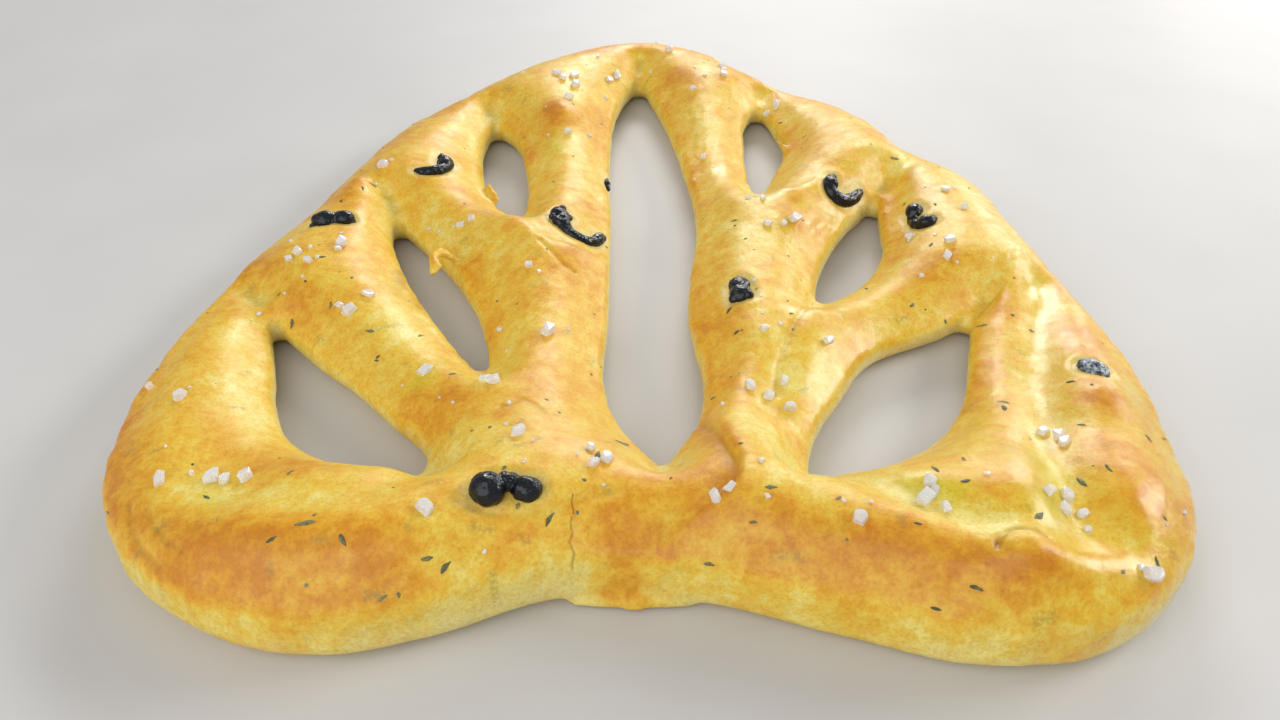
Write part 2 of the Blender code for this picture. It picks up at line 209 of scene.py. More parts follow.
def regrid(obj, size):
    """Replaces the object's faces by an even grid of that size."""
    remesh = obj.modifiers.new("grid", "REMESH")
    remesh.mode = "VOXEL"
    remesh.voxel_size = size * MM
    bake(obj)


def points_of(mesh):
    """The mesh's points in millimetres, as an array of rows."""
    points = np.empty(len(mesh.vertices) * 3, np.float64)
    mesh.vertices.foreach_get("co", points)
    return points.reshape(-1, 3) / MM


def set_points(mesh, points):
    mesh.vertices.foreach_set("co", (points * MM).astype(np.float32).ravel())
    mesh.update()


def normals_of(mesh):
    normals = np.empty(len(mesh.vertices) * 3, np.float64)
    mesh.vertex_normals.foreach_get("vector", normals)
    return normals.reshape(-1, 3)


def ends_of_edges(mesh):
    """The numbers of the two points at the ends of each edge."""
    edges = np.empty(len(mesh.edges) * 2, np.int64)
    mesh.edges.foreach_get("vertices", edges)
    return edges.reshape(-1, 2)


print("mesh helpers are ready")

# %% Roll, cut and slash the dough
FIRST_GRID = 1.4
CURVE_STEPS = 10  # straight pieces between two points of the outline


def slit_loop(far, near, right, left):
    """The closed loop of a slit: from its far tip down its right side, round its near tip and back up."""
    far, near = np.array(far, float), np.array(near, float)
    along = near - far
    across = np.array((-along[1], along[0])) / np.linalg.norm(along)
    steps = [(i + 0.5) / len(right) for i in range(len(right))]
    right_side = [far + along * t + across * width for t, width in zip(steps, right)]
    left_side = [far + along * t - across * width for t, width in zip(steps, left)]
    return [far, *right_side, near, *reversed(left_side)]


def add_loop(curve, loop, sharp=()):
    """A closed spline through the loop's points, smooth but for the sharp ones."""
    spline = curve.splines.new("BEZIER")
    spline.bezier_points.add(len(loop) - 1)
    for index, (point, (x, y)) in enumerate(zip(spline.bezier_points, loop)):
        point.co = (x * MM, y * MM, 0)
        point.handle_left_type = point.handle_right_type = "VECTOR" if index in sharp else "AUTO"
    spline.use_cyclic_u = True


curve = bpy.data.curves.new("loaf", "CURVE")
curve.dimensions = "2D"
curve.fill_mode = "BOTH"
curve.extrude = SLAB / 2 * MM
curve.resolution_u = CURVE_STEPS
add_loop(curve, OUTLINE)
for slit in SLITS:
    add_loop(curve, slit_loop(*slit), sharp=(0, len(slit[2]) + 1))
loaf = bpy.data.objects.new("loaf", curve)
loaf.location.z = SLAB / 2 * MM
bpy.context.scene.collection.objects.link(loaf)
loaf = as_mesh(loaf)
regrid(loaf, FIRST_GRID)
print("rolled dough:", len(loaf.data.vertices), "points")

# %% [markdown]
# ### Rising
#
# Dough rises most where it is far from an edge, and its crust is held down along every cut. A
# Solidify or a Bevel would give each strand the same round, whatever its width. Here the height
# relaxes like a stretched skin under even pressure (a screened Poisson equation), so that thin
# strands stay low and round, and the wide band at the broad end swells up.

# %% Measure distances in plan
def bell(away, reach):
    """A bell curve: 1 where away is 0, and fading out beyond the reach."""
    return np.exp(-((away / reach) ** 2))


def distance_to_line(plan, line):
    """For each row of plan, the distance to the line, and which side of it the row lies on (+1 left)."""
    best = np.full(len(plan), np.inf)
    side = np.zeros(len(plan))
    for start, end in zip(line[:-1], line[1:]):
        start, end = np.array(start, float), np.array(end, float)
        along = end - start
        offset = plan - start
        t = np.clip(offset @ along / (along @ along), 0, 1)
        away = np.linalg.norm(offset - t[:, None] * along, axis=1)
        turn = along[0] * offset[:, 1] - along[1] * offset[:, 0]
        nearer = away < best
        side[nearer] = np.sign(turn[nearer])
        best[nearer] = away[nearer]
    return best, side


def plan_tree(plan):
    """A search tree of plan points."""
    tree = KDTree(len(plan))
    for index, (x, y) in enumerate(plan):
        tree.insert((x, y, 0), index)
    tree.balance()
    return tree


def nearest(plan, others):
    """Distance from each row of plan to the nearest of the others."""
    tree = plan_tree(others)
    return np.array([tree.find((x, y, 0))[2] for x, y in plan])


print("the middle slit is", round(math.dist(*SLITS[0][:2])), "mm long")

# %% Let it rise
RISE_ROUNDS = 1000


def tip_creases(plan):
    """Share of the rise lost to the crease that runs on beyond each end of a slit."""
    length, width, loss = TIP_CREASE
    lost = np.zeros(len(plan))
    for far, near, _, _ in SLITS:
        far, near = np.array(far, float), np.array(near, float)
        along = (near - far) / np.linalg.norm(near - far)
        for line in ((far, far - along * length), (near, near + along * length)):
            away, _ = distance_to_line(plan, line)
            lost = np.maximum(lost, loss * bell(away, width))
    return lost


def risen_share(mesh, top, wall):
    """How far each top point has risen, from 0 at an edge to 1 far from any edge."""
    edges = ends_of_edges(mesh)
    edges = edges[(top | wall)[edges].all(axis=1)]
    a, b = edges[:, 0], edges[:, 1]
    count = len(mesh.vertices)
    degree = np.bincount(a, minlength=count) + np.bincount(b, minlength=count)
    pull = (FIRST_GRID / REACH) ** 2
    share = np.zeros(count)
    for _ in range(RISE_ROUNDS):
        around = np.bincount(a, share[b], count) + np.bincount(b, share[a], count)
        share = np.where(top, (around + pull) / (degree + pull), 0.0)
    return share


def plumpness(plan):
    """The broad end holds more dough than the rest."""
    extra, start, fade = PLUMP_END
    return 1.0 + extra / (1 + np.exp((plan[:, 1] - start) / fade))


print("the dough can rise up to", RISE, "mm")

# %% [markdown]
# ### Humps, hollows and folds
#
# Hands leave marks: a swelling over a buried olive, hollows where fingers pressed, and folds where
# dough was laid over dough. Each is a small bell-shaped change of height along a point or a line.
# That stays readable, where sculpting would leave only numbers.

# %% Shape the top
HUMPS = (  # middle, reach, height
    ((-73, -150), 34, 4.0),
    ((58, -152), 34, 3.5),
    ((-52, -151), 12, 1.5),
    ((84, -154.5), 8.5, 5.2),
    ((121, -97), 9, 3.0),
    ((-33, 81), 9, 3.5),
    ((-105, -125), 15, -4.5),
    ((-1, -145), 16, -2.0),
)
VALLEYS = (  # line, half width, depth
    (((123, -32), (116, -56), (107, -86), (101, -115), (100, -137)), 8, 6.0),
    (((45, -120), (57, -136), (73, -145), (86, -149), (107, -146)), 6, 3.5),
    (((-51, -124), (-65, -136), (-81, -139), (-97, -133)), 7, 2.5),
    (((43, -43), (40, -61), (38, -77), (34, -94)), 5, 2.0),
    (((112, -29), (107, -36), (100, -47)), 4, 2.0),
    (((84, 6), (87, 21), (91, 39), (98, 46)), 5, 3.0),
    (((-42, -15), (-49, -20), (-52, -28), (-51, -40)), 4, 1.3),
)
FOLDS = (  # line with the raised side on its left, reach, height
    (((12, -86), (18, -109), (22, -124), (19, -134), (12, -139)), 13, 3.5),
    (((-86, -1), (-88, 9), (-91, 19), (-97, 24)), 14, 3.0),
    (((-23, -16), (-30, -17), (-36, -12), (-43, 0)), 10, 2.0),
    (((62, 27), (52, 19), (42, 24)), 8, 1.8),
)
FOLD_STEP = 1.2  # half width of the step at a fold
TOP_SHARE, FOOT_SHARE = 0.8, 0.2  # of the slab's thickness: the top lies above, the foot below
RIM_BAND = 6  # walls within this distance of the outline are the rim, and the others are slits
HELD_BAND = 9  # humps, valleys and folds fade out over this distance from an edge


def shaping(plan):
    """Height that humps, valleys and folds add to the top of the dough, in millimetres."""
    added = np.zeros(len(plan))
    for middle, reach, height in HUMPS:
        away = np.linalg.norm(plan - np.array(middle, float), axis=1)
        added += height * bell(away, reach)
    for line, width, depth in VALLEYS:
        away, _ = distance_to_line(plan, line)
        added -= depth * bell(away, width)
    for line, reach, height in FOLDS:
        away, side = distance_to_line(plan, line)
        raised = 0.5 + 0.5 * np.tanh(side * away / FOLD_STEP)
        added += height * raised * bell(away, reach)
    return added


def raise_dough(obj):
    """Turns the flat slab into the risen loaf: a domed top, round edges and a flat foot."""
    mesh = obj.data
    points = points_of(mesh)
    height = points[:, 2] / SLAB
    top, wall = height > TOP_SHARE, (height >= FOOT_SHARE) & (height <= TOP_SHARE)
    share = risen_share(mesh, top, wall)
    plan = points[:, :2]
    at_rim = distance_to_line(plan, OUTLINE + OUTLINE[:1])[0] < RIM_BAND
    from_rim = nearest(plan, plan[wall & at_rim])
    from_slit = nearest(plan, plan[wall & ~at_rim])
    inset = np.minimum(from_rim, from_slit)
    curl = FOOT_LIFT * np.clip(1 - inset / FOOT_WIDTH, 0, 1) ** 2
    power = RIM_ROUND + (SLIT_ROUND - RIM_ROUND) * from_rim / (from_rim + from_slit + 0.01)
    held = np.clip(inset / HELD_BAND, 0, 1)
    risen = RISE * plumpness(plan) * share**power * (1 - tip_creases(plan)) + shaping(plan) * held
    points[:, 2] = curl + height * WALL + np.where(top, np.maximum(risen, 0), 0)
    set_points(mesh, points)


raise_dough(loaf)
print("risen to", round(points_of(loaf.data)[:, 2].max(), 1), "mm")

# %% [markdown]
# ### Tags of dough
#
# Where the knife dragged, small tags of dough stand at the edge of a slit. Each is a short tapering
# roll, made as a bevelled curve. The next grid fuses them to the loaf, as baking does.

# %% Lay the tags and make the fine grid
FINE_GRID = 1.25
FLAT_FOOT = 0.35  # what lies lower than this is pressed flat
THINNED = 0.05  # share of the faces of the flat underside that is kept
TAGS = (  # points of the roll, and its thickness
    (((-62.5, -15, 11), (-64, -17.5, 15.5), (-66.5, -18, 17.5), (-68.3, -22.3, 17.5), (-66.3, -27.7, 17),
      (-69.2, -27, 15)), 1.7),
    (((-53, 26, 11), (-55, 30.6, 12), (-56.5, 32, 13), (-57, 34.5, 13.5)), 1.5),
    (((55, 66, 11), (53.2, 69, 11.5), (51.4, 72, 12)), 1.3),
    (((-106, 26, 12), (-110, 31, 11)), 3.2),
    (((-19, -147.5, 1.7), (-9, -148.4, 1.7), (3, -148.4, 1.7), (11, -148, 1.7)), 1.7),
)


def roll(name, line, radii, sides=1, steps=2):
    """A roll with flat capped ends along a line of points, as thick at each point as radii says."""
    curve = bpy.data.curves.new(name, "CURVE")
    curve.dimensions = "3D"
    curve.bevel_depth = MM
    curve.bevel_resolution = sides
    curve.resolution_u = steps
    curve.use_fill_caps = True
    spline = curve.splines.new("BEZIER")
    spline.bezier_points.add(len(line) - 1)
    for point, place, radius in zip(spline.bezier_points, line, radii):
        point.co = Vector(place) * MM
        point.radius = radius
        point.handle_left_type = point.handle_right_type = "AUTO"
    obj = bpy.data.objects.new(name, curve)
    bpy.context.scene.collection.objects.link(obj)
    return as_mesh(obj)


def taper(count):
    """Thickness along a short roll: full in the middle, less at its ends."""
    return [0.6 + 0.4 * math.sin(math.pi * (i + 0.5) / count) for i in range(count)]


def add_tags(bread):
    shape = bmesh.new()
    shape.from_mesh(bread.data)
    for line, thickness in TAGS:
        tag = roll("tag", line, [thickness * s for s in taper(len(line))], sides=3, steps=6)
        shape.from_mesh(tag.data)
        bpy.data.objects.remove(tag, do_unlink=True)
    shape.to_mesh(bread.data)
    shape.free()


def flatten_foot(mesh):
    points = points_of(mesh)
    points[:, 2] -= points[:, 2].min()
    points[points[:, 2] < FLAT_FOOT, 2] = 0.0
    set_points(mesh, points)


def thin_underside(obj):
    """Merges most faces of the flat underside, which needs no fine grid."""
    under = points_of(obj.data)[:, 2] < WELD
    group = obj.vertex_groups.new(name="underside")
    group.add([int(i) for i in np.flatnonzero(under)], 1.0, "REPLACE")
    thin = obj.modifiers.new("thin", "DECIMATE")
    thin.ratio = 1 - (1 - THINNED) * under.mean()
    thin.vertex_group = group.name
    bake(obj)


add_tags(loaf)
regrid(loaf, FINE_GRID)
smooth = loaf.modifiers.new("smooth", "SMOOTH")
smooth.factor = 0.5
smooth.iterations = 9
bake(loaf)
flatten_foot(loaf.data)
thin_underside(loaf)
print("fine dough:", len(loaf.data.vertices), "points,", len(loaf.data.polygons), "faces")

# %% [markdown]
# ## The olives
#
# The olives are rings and scraps of pitted black olive, pressed into the dough. A piece of an
# olive ring is a bent roll, so each is a bevelled curve along its middle line, with its own
# thickness at each point. The curve is laid on the loaf by casting rays down to it. Where the
# olive bulges, a lobe is added: a stretched ball. A fine grid melts rolls and lobes together, and
# some noise then gives the wrinkled skin. Some pieces get the dark hollow of the pit.

# %% Find the height of the crust
def surface_tree(obj):
    bpy.context.view_layer.update()
    return BVHTree.FromObject(obj, bpy.context.evaluated_depsgraph_get())


def drop(tree, x, y):
    """Where something dropped at the plan point lands, and the normal there. Over a slit, both are None."""
    spot, normal, _, _ = tree.ray_cast(Vector((x * MM, y * MM, 1.0)), Vector((0, 0, -1)))
    return spot, normal


def height_over(tree, x, y):
    """Height of the crust at the plan point, or of the nearest crust where the point lies over a slit."""
    spot = drop(tree, x, y)[0] or tree.find_nearest(Vector((x * MM, y * MM, RISE * MM)))[0]
    return spot.z / MM


loaf_tree = surface_tree(loaf)
print("the crust stands", round(height_over(loaf_tree, -38, -134), 1), "mm high at the largest olive")

# %% Cut the olive pieces
OLIVES = (  # name, the line along its middle, thickness along it, depth of the middle under the crust
    ("olive_upper_left",
     ((-82, 31.3), (-79.5, 30.8), (-75.8, 31.8), (-72.8, 36), (-72.5, 40.5), (-75, 43)),
     (1.1, 2.0, 2.3, 2.3, 2.4, 1.6), 0.4),
    ("olive_left_rim",
     ((-111.5, -3.5), (-108.5, -2), (-106, -1.5), (-103.5, -2), (-101, -1), (-97.7, -1.5)),
     (0.9, 2.2, 2.7, 2.2, 2.6, 0.9), 0.5),
    ("olive_left_spine",
     ((-29, 6.5), (-28, 2), (-27.6, -3), (-25, -7.3), (-21, -8.2), (-17.5, -6), (-14.8, -0.5)),
     (1.6, 2.6, 2.8, 2.1, 1.9, 2.1, 1.7), 0.7),
    ("olive_base",
     ((-35.5, -134), (-33, -133.2), (-31.4, -132.8), (-30, -133.2), (-28.5, -134)),
     (1.6, 1.9, 1.9, 1.8, 1.4), 0.2),
    ("olive_right_bar",
     ((66.8, 28.5), (65.2, 25), (65.6, 22), (69, 21), (72.6, 23), (75.6, 26), (77.3, 28.3)),
     (1.9, 2.4, 2.6, 2.7, 2.6, 2.4, 1.7), 0.5),
    ("olive_right_rim",
     ((93.3, 10.5), (92, 6.5), (91, 2), (92.5, -2.5), (95, -3), (96.5, -1)),
     (1.4, 2.2, 1.7, 2.2, 2.2, 1.6), 0.4),
    ("olive_right_spine",
     ((28.8, -38), (29, -41), (28.9, -44), (28.9, -45.6)),
     (2.5, 3.2, 3.1, 2.5), 0.8),
    ("olive_right_edge", ((119.8, -81), (122, -83.5), (124.3, -86)), (1.6, 2.6, 1.8), 1.6),
    ("olive_slit_edge", ((-14.3, 44), (-14, 41), (-13.7, 38)), (0.8, 1.4, 0.9), 0.3),
)
LOBES = {  # middle in plan, half sizes across, along and up, turn in degrees, rise over the crust
    "olive_base": (
        ((-37.1, -136.0), (4.4, 4.5, 4.1), 0, 0.2),
        ((-28.3, -134.8), (3.9, 3.4, 3.3), 0, -0.3),
        ((-32.6, -133.2), (2.6, 2.9, 2.9), 0, 0.4),
    ),
    "olive_left_rim": (
        ((-107.2, -1.8), (4.7, 3.4, 3.0), 8, 0.2),
        ((-101.2, -1.2), (3.8, 3.1, 2.8), -12, 0.2),
    ),
    "olive_upper_left": (
        ((-73.3, 38.7), (2.9, 4.2, 2.6), -8, 0.2),
    ),
    "olive_left_spine": (
        ((-29.6, 2.0), (2.6, 3.0, 2.3), 20, 0.2),
        ((-28.6, -3.0), (2.9, 2.3, 2.2), -20, 0.2),
        ((-28.4, 6.2), (1.5, 1.7, 1.5), 0, 0.3),
        ((-25.8, 0.6), (1.4, 1.4, 1.4), 0, 0.3),
        ((-31.2, -0.6), (1.3, 1.4, 1.3), 0, 0.3),
        ((-16.4, -4.0), (2.0, 3.6, 2.0), -32, 0.1),
    ),
    "olive_right_bar": (
        ((66.0, 25.0), (2.7, 3.6, 2.6), 8, 0.0),
    ),
    "olive_right_rim": (
        ((92.4, 7.6), (3.0, 3.6, 2.8), -8, 0.2),
        ((94.3, -2.6), (3.3, 2.8, 2.5), 10, 0.1),
    ),
    "olive_right_spine": (
        ((28.7, -40.4), (3.5, 4.0, 2.4), 0, 0.0),
        ((28.9, -44.2), (3.7, 3.8, 2.5), 0, 0.0),
        ((26.6, -46.0), (1.5, 1.7, 1.6), 0, 0.0),
        ((31.0, -46.0), (1.6, 1.7, 1.6), 0, 0.0),
    ),
    "olive_right_edge": (
        ((122.4, -83.6), (3.3, 4.8, 2.3), 38, -0.45),
    ),
}
OLIVE_GRID = 0.3
SKIN_DENTS = (0.24, 2.4)  # depth and size
SKIN_CREASES = ((0.30, 1.1), (0.14, 0.55))  # depth and spacing, coarse and fine


def noise_at(points, size, seed):
    """Smooth noise from about -1 to 1 at each point, with lumps of that size in millimetres."""
    shift = Vector((seed * 17.3, seed * 5.1, seed * 9.7))
    return np.array([noise.noise(Vector(p) / size + shift) for p in points])


def wrinkle_skin(mesh, seed):
    """Small dents and creases all over an olive piece."""
    points = points_of(mesh)
    depth, size = SKIN_DENTS
    dents = depth * noise_at(points, size, seed)
    for step, (depth, size) in enumerate(SKIN_CREASES, 1):
        dents -= depth * np.abs(noise_at(points, size, seed + step))
    set_points(mesh, points + normals_of(mesh) * dents[:, None])


def add_ball(obj, middle, halves, turn=0.0):
    """Adds a stretched ball to the object's mesh."""
    shape = bmesh.new()
    shape.from_mesh(obj.data)
    stretch = Matrix.Diagonal((*(h * MM for h in halves), 1.0))
    spun = Matrix.Rotation(math.radians(turn), 4, "Z")
    placed = Matrix.Translation(Vector(middle) * MM) @ spun @ stretch
    bmesh.ops.create_icosphere(shape, subdivisions=4, radius=1.0, matrix=placed)
    shape.to_mesh(obj.data)
    shape.free()


olives = []
for index, (name, plan, radii, depth) in enumerate(OLIVES):
    line = [(x, y, height_over(loaf_tree, x, y) - depth) for x, y in plan]
    olive = roll(name + "_flesh", line, radii, sides=5, steps=8)
    for end, radius in ((line[0], radii[0]), (line[-1], radii[-1])):
        add_ball(olive, end, (radius, radius, radius))
    for (x, y), halves, turn, rise in LOBES.get(name, ()):
        add_ball(olive, (x, y, height_over(loaf_tree, x, y) + rise), halves, turn)
    regrid(olive, OLIVE_GRID)
    wrinkle_skin(olive.data, seed=index)
    olive.data.shade_smooth()
    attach(olive, "root")
    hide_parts(name)
    olives.append(olive)
print(len(olives), "olive pieces,", sum(len(o.data.polygons) for o in olives), "faces")

# %% Sink the pit hollows
PIT_HOLLOWS = (  # olive, middle of the hollow in plan, reach, depth
    ("olive_base", (-32.4, -131.6), 1.7, 1.3),
    ("olive_left_rim", (-104.6, -4.0), 1.0, 1.6),
    ("olive_left_rim", (-104.4, 3.0), 1.2, 1.6),
    ("olive_left_spine", (-27.8, -2.5), 1.2, 1.1),
    ("olive_right_rim", (90.4, 3.6), 1.0, 1.4),
    ("olive_upper_left", (-75.4, 38.0), 1.2, 0.9),
)
HOLLOW_LUMPS, HOLLOW_SEED = 0.7, 40  # size and seed of the lumps that make a hollow uneven

for name, middle, reach, depth in PIT_HOLLOWS:
    mesh = bpy.data.objects[name + "_flesh"].data
    points = points_of(mesh)
    away = np.linalg.norm(points[:, :2] - np.array(middle), axis=1)
    rough = 1 + 0.5 * noise_at(points, HOLLOW_LUMPS, HOLLOW_SEED)
    points[:, 2] -= depth * rough * bell(away, reach)
    set_points(mesh, points)
print(len(PIT_HOLLOWS), "hollows")

# %% [markdown]
# ## The skin of the dough
#
# A baked crust is never quite smooth. Round each olive the dough is drawn in and then stands up in
# a low lip. Pulled dough wrinkles in bundles of fine lines, and the whole skin is gently uneven.
# Displacement in a material would be lost on export, so the points themselves are moved.

# %% Press the dough in round the olives
DIP = (-0.55, 0.3, 0.9)  # change of height, its distance from the olive's side, its half width
LIP = (0.25, 2.8, 1.5)
PRESSED_MARGIN = 14


def round_olives(points, margin):
    """For each olive in turn, the points within the margin of it, and their distances to it in plan."""
    for olive in olives:
        flesh = points_of(olive.data)
        low, high = flesh.min(axis=0) - margin, flesh.max(axis=0) + margin
        close = np.flatnonzero(((points > low) & (points < high)).all(axis=1))
        yield close, nearest(points[close, :2], flesh[:, :2])


def press_round_olives(points):
    """Makes a narrow dip at each olive's side, and a low lip beyond it."""
    for close, away in round_olives(points, PRESSED_MARGIN):
        for height, middle, width in (DIP, LIP):
            points[close, 2] += height * bell(away - middle, width)


points = points_of(loaf.data)
press_round_olives(points)
set_points(loaf.data, points)
print("the dough is drawn in round", len(olives), "olives")

# %% Wrinkle the pulled dough
WRINKLES = (  # line beside which the wrinkles run, how far they spread, their spacing and depth
    (((-127, -118), (-124, -132), (-115, -144), (-101, -152)), 8, 4.6, 0.16),
    (((-116, -128), (-110, -138), (-98, -144)), 5, 3.4, 0.18),
    (((50, -50), (46, -60), (42, -70), (39, -82), (37, -92)), 5.0, 1.9, 0.10),
    (((100, -40), (106, -34), (113, -28), (119, -20)), 6, 3.0, 0.18),
    (((-83, -20), (-70, -40), (-60, -58), (-53, -80)), 7, 3.8, 0.10),
    (((60, -156), (78, -160), (97, -159)), 6, 3.0, 0.16),
    (((134, -96), (131, -118), (124, -136)), 7, 2.6, 0.14),
    (((-40, 20), (-42, 40), (-46, 60)), 7, 3.6, 0.11),
    (((20, 60), (22, 85), (18, 110)), 8, 3.8, 0.11),
    (((-56, -136), (-75, -134), (-90, -126)), 7, 3.6, 0.14),
    (((50, -12), (56, 0), (62, 12)), 5, 2.6, 0.16),
    (((34, -96), (36, -108), (40, -116)), 6, 2.6, 0.12),
)
WAVES = ((16, 2.2, 2), (5, 1.0, 4))  # waves of the wrinkles: length, height, seed
BREAKS = ((9, 1.2, 6),)  # the same, for the noise that breaks them off
UNEVEN = ((22, 0.45, 3), (8, 0.25, 5), (3.4, 0.10, 7))  # lump size, height, seed
RAGGED = ((4.0, 0.45, 23), (1.8, 0.25, 29))  # on the walls that the knife left
FULL_RELIEF = 6  # height over the table from which the relief has its full depth
WALL_TILT, WALL_BAND = 0.25, 0.5  # upward share of a ragged wall's normal, and how far it may be off


def lumpy(points, layers):
    """Sum of layers of noise, each with its lump size, height and seed."""
    return sum(height * noise_at(points, size, seed) for size, height, seed in layers)


def wrinkled(plan):
    """Fine ridges beside each line, fading outwards, waved so that no two run quite alike."""
    height = np.zeros(len(plan))
    flat = np.column_stack([plan, np.zeros(len(plan))])
    wave = lumpy(flat, WAVES)
    broken = np.clip(0.5 + lumpy(flat, BREAKS), 0, 1)
    for line, spread, spacing, depth in WRINKLES:
        away, side = distance_to_line(plan, line)
        near = broken * bell(away, spread)
        height += depth * near * np.sin(2 * math.pi * (side * away + wave) / spacing)
    return height


points = points_of(loaf.data)
normals = normals_of(loaf.data)
above = np.clip(points[:, 2] / FULL_RELIEF, 0, 1)
steep = np.clip(1 - np.abs(normals[:, 2] - WALL_TILT) / WALL_BAND, 0, 1)
relief = wrinkled(points[:, :2]) + lumpy(points, UNEVEN) + steep * lumpy(points, RAGGED)
points += normals * (relief * above)[:, None]
points[:, 2] = np.maximum(points[:, 2], 0)
set_points(loaf.data, points)
print("relief from", round(relief.min(), 2), "to", round(relief.max(), 2), "mm")

# %% [markdown]
# ### Creases and a crack
#
# Where dough was folded over dough a sharp line stays, and the narrow neck of the broad end has
# cracked. These lines are finer than the grid, so the faces along them are first divided, and
# their points are then pushed in. How far each point lies in a crease is kept, to darken it later
# with browner crust and painted shade in the groove.

# %% Press the creases in
CREASES = (  # line, half width, depth, darkness
    (((-124.6, -131.7), (-121, -140.4), (-116.9, -145.6), (-110.9, -150.6)), 0.9, 0.55, 0.30),
    (((-118.2, -135.8), (-114.9, -141), (-109.3, -146.2), (-105.6, -148.8)), 0.8, 0.45, 0.25),
    (((-34, -18.4), (-29.8, -23.8), (-26.1, -28.1), (-22.3, -29.9)), 0.9, 0.45, 0.22),
    (((-45.8, -14), (-48.6, -16.5), (-50.4, -20.3), (-51, -24.8), (-50, -32)), 0.9, 0.55, 0.0),
    (((-38.1, -101.6), (-35.1, -100.5), (-32.7, -98.4), (-29, -101.3), (-26.3, -104.2)), 0.7, 0.35, 0.30),
    (((111.8, -34.7), (107.6, -38), (102.5, -44.2)), 0.8, 0.55, 0.0),
    (((97.9, -23.1), (95.2, -28.4), (92.8, -32.2)), 0.7, 0.40, 0.0),
    (((13, -92), (16.5, -104), (19.1, -117.5), (20.7, -124.8), (20.4, -131.5),
      (18.5, -135.8)), 1.1, 0.9, 0.35),
    (((76, -153.4), (76.8, -151.6), (79, -150), (81.6, -149.2), (85.4, -149.4),
      (88, -151)), 0.7, 0.8, 0.42),
    (((75.9, -154.4), (76.4, -152.6)), 1.0, 0.9, 0.75),
    (((-44, -139.5), (-40.6, -141.2), (-33.9, -141.4), (-27, -140.4), (-20.4, -138.2), (-13.5, -134.9),
      (-6.6, -133)), 1.4, 0.6, 0.10),
    (((52, -39), (48.5, -49.5), (43.3, -59), (40.2, -67), (37.0, -77), (35.4, -88)), 1.2, 0.55, 0.14),
)
CRACK = (
    ((-17.4, -134.5), (-17.7, -136.6), (-17.1, -138.8), (-17.9, -141), (-17.3, -143.2), (-18, -144.6),
     (-16.8, -146.4), (-17.6, -148.6), (-16.6, -150.8), (-17.4, -153), (-16.4, -155.5)), 0.26, 0.55, 0.45)
CREASED_ABOVE = 4  # height over the table from which the top can crease
DAMP_REACH = 3.0  # distance from an olive over which the dough stays damp and pale
DAMP_MARGIN = 10


def divide_along(mesh, lines, reach, cuts):
    """Divides the upward faces within reach of the lines."""
    shape = bmesh.new()
    shape.from_mesh(mesh)
    shape.verts.ensure_lookup_table()
    points = np.array([v.co for v in shape.verts]) / MM
    near = np.zeros(len(points), bool)
    for line, *_ in lines:
        away, _ = distance_to_line(points[:, :2], line)
        near |= (away < reach) & (points[:, 2] > CREASED_ABOVE)
    edges = [e for e in shape.edges if near[e.verts[0].index] and near[e.verts[1].index]]
    bmesh.ops.subdivide_edges(shape, edges=edges, cuts=cuts, use_grid_fill=True)
    shape.to_mesh(mesh)
    shape.free()


divide_along(loaf.data, CREASES, reach=2.4, cuts=1)
divide_along(loaf.data, (CRACK,), reach=1.6, cuts=2)
points = points_of(loaf.data)
normals = normals_of(loaf.data)
# how far each point lies in a crease or the crack: browner crust there, and painted shade in the groove
crease_brown_and_shade = np.zeros(len(points))
for line, width, depth, darkness in (*CREASES, CRACK):
    away, _ = distance_to_line(points[:, :2], line)
    on_top = (points[:, 2] > CREASED_ABOVE) * np.clip(normals[:, 2] * 4, 0, 1)
    inside = bell(away, width) * on_top
    points -= normals * (depth * inside)[:, None]
    crease_brown_and_shade = np.maximum(crease_brown_and_shade, darkness * inside)
set_points(loaf.data, points)
near_olive = np.zeros(len(points))
for close, away in round_olives(points, DAMP_MARGIN):
    near_olive[close] = np.maximum(near_olive[close], bell(away, DAMP_REACH))
print("the crust has", sum(len(f.vertices) - 2 for f in loaf.data.polygons), "triangles")

# %% [markdown]
# ## The colours of the crust
#
# Crust browns where it is high, bulging and turned up to the heat, and stays pale in hollows, on
# side walls and round moist olives. Side walls facing the windows on the right are also painted
# paler, and those on the left less pale: that is painted light. The tray shields the lowest part,
# but for a few hot spots. A painted texture would need a UV map, so these values are worked out
# for each point and kept as mesh attributes. The material then mixes its colours by them, with
# noise to break them up.

# %% Work out how bulging each point is
FACING_ROUNDS, FLOW_ROUNDS = 6, 90  # how far the normals and the shape itself are evened out
FULL_BULGE = 1.6  # height over the evened shape that counts as fully bulging


def soft_step(values, low, high):
    t = np.clip((values - low) / (high - low), 0, 1)
    return t * t * (3 - 2 * t)


def spread_out(values, edges, rounds, pace=0.6):
    """Averages the values over their neighbours again and again."""
    a, b = edges[:, 0], edges[:, 1]
    degree = np.maximum(np.bincount(a, minlength=len(values)) + np.bincount(b, minlength=len(values)), 1)
    for _ in range(rounds):
        around = np.bincount(a, values[b], len(values)) + np.bincount(b, values[a], len(values))
        values = (1 - pace) * values + pace * around / degree
    return values


points = points_of(loaf.data)
edges = ends_of_edges(loaf.data)
normals = np.column_stack([spread_out(n, edges, FACING_ROUNDS) for n in normals_of(loaf.data).T])
normals /= np.linalg.norm(normals, axis=1)[:, None]
flow = np.column_stack([spread_out(p, edges, FLOW_ROUNDS) for p in points.T])
bulge = np.clip(((points - flow) * normals).sum(axis=1) / FULL_BULGE, -1, 1)
print("bulging between", round(bulge.min(), 2), "and", round(bulge.max(), 2))

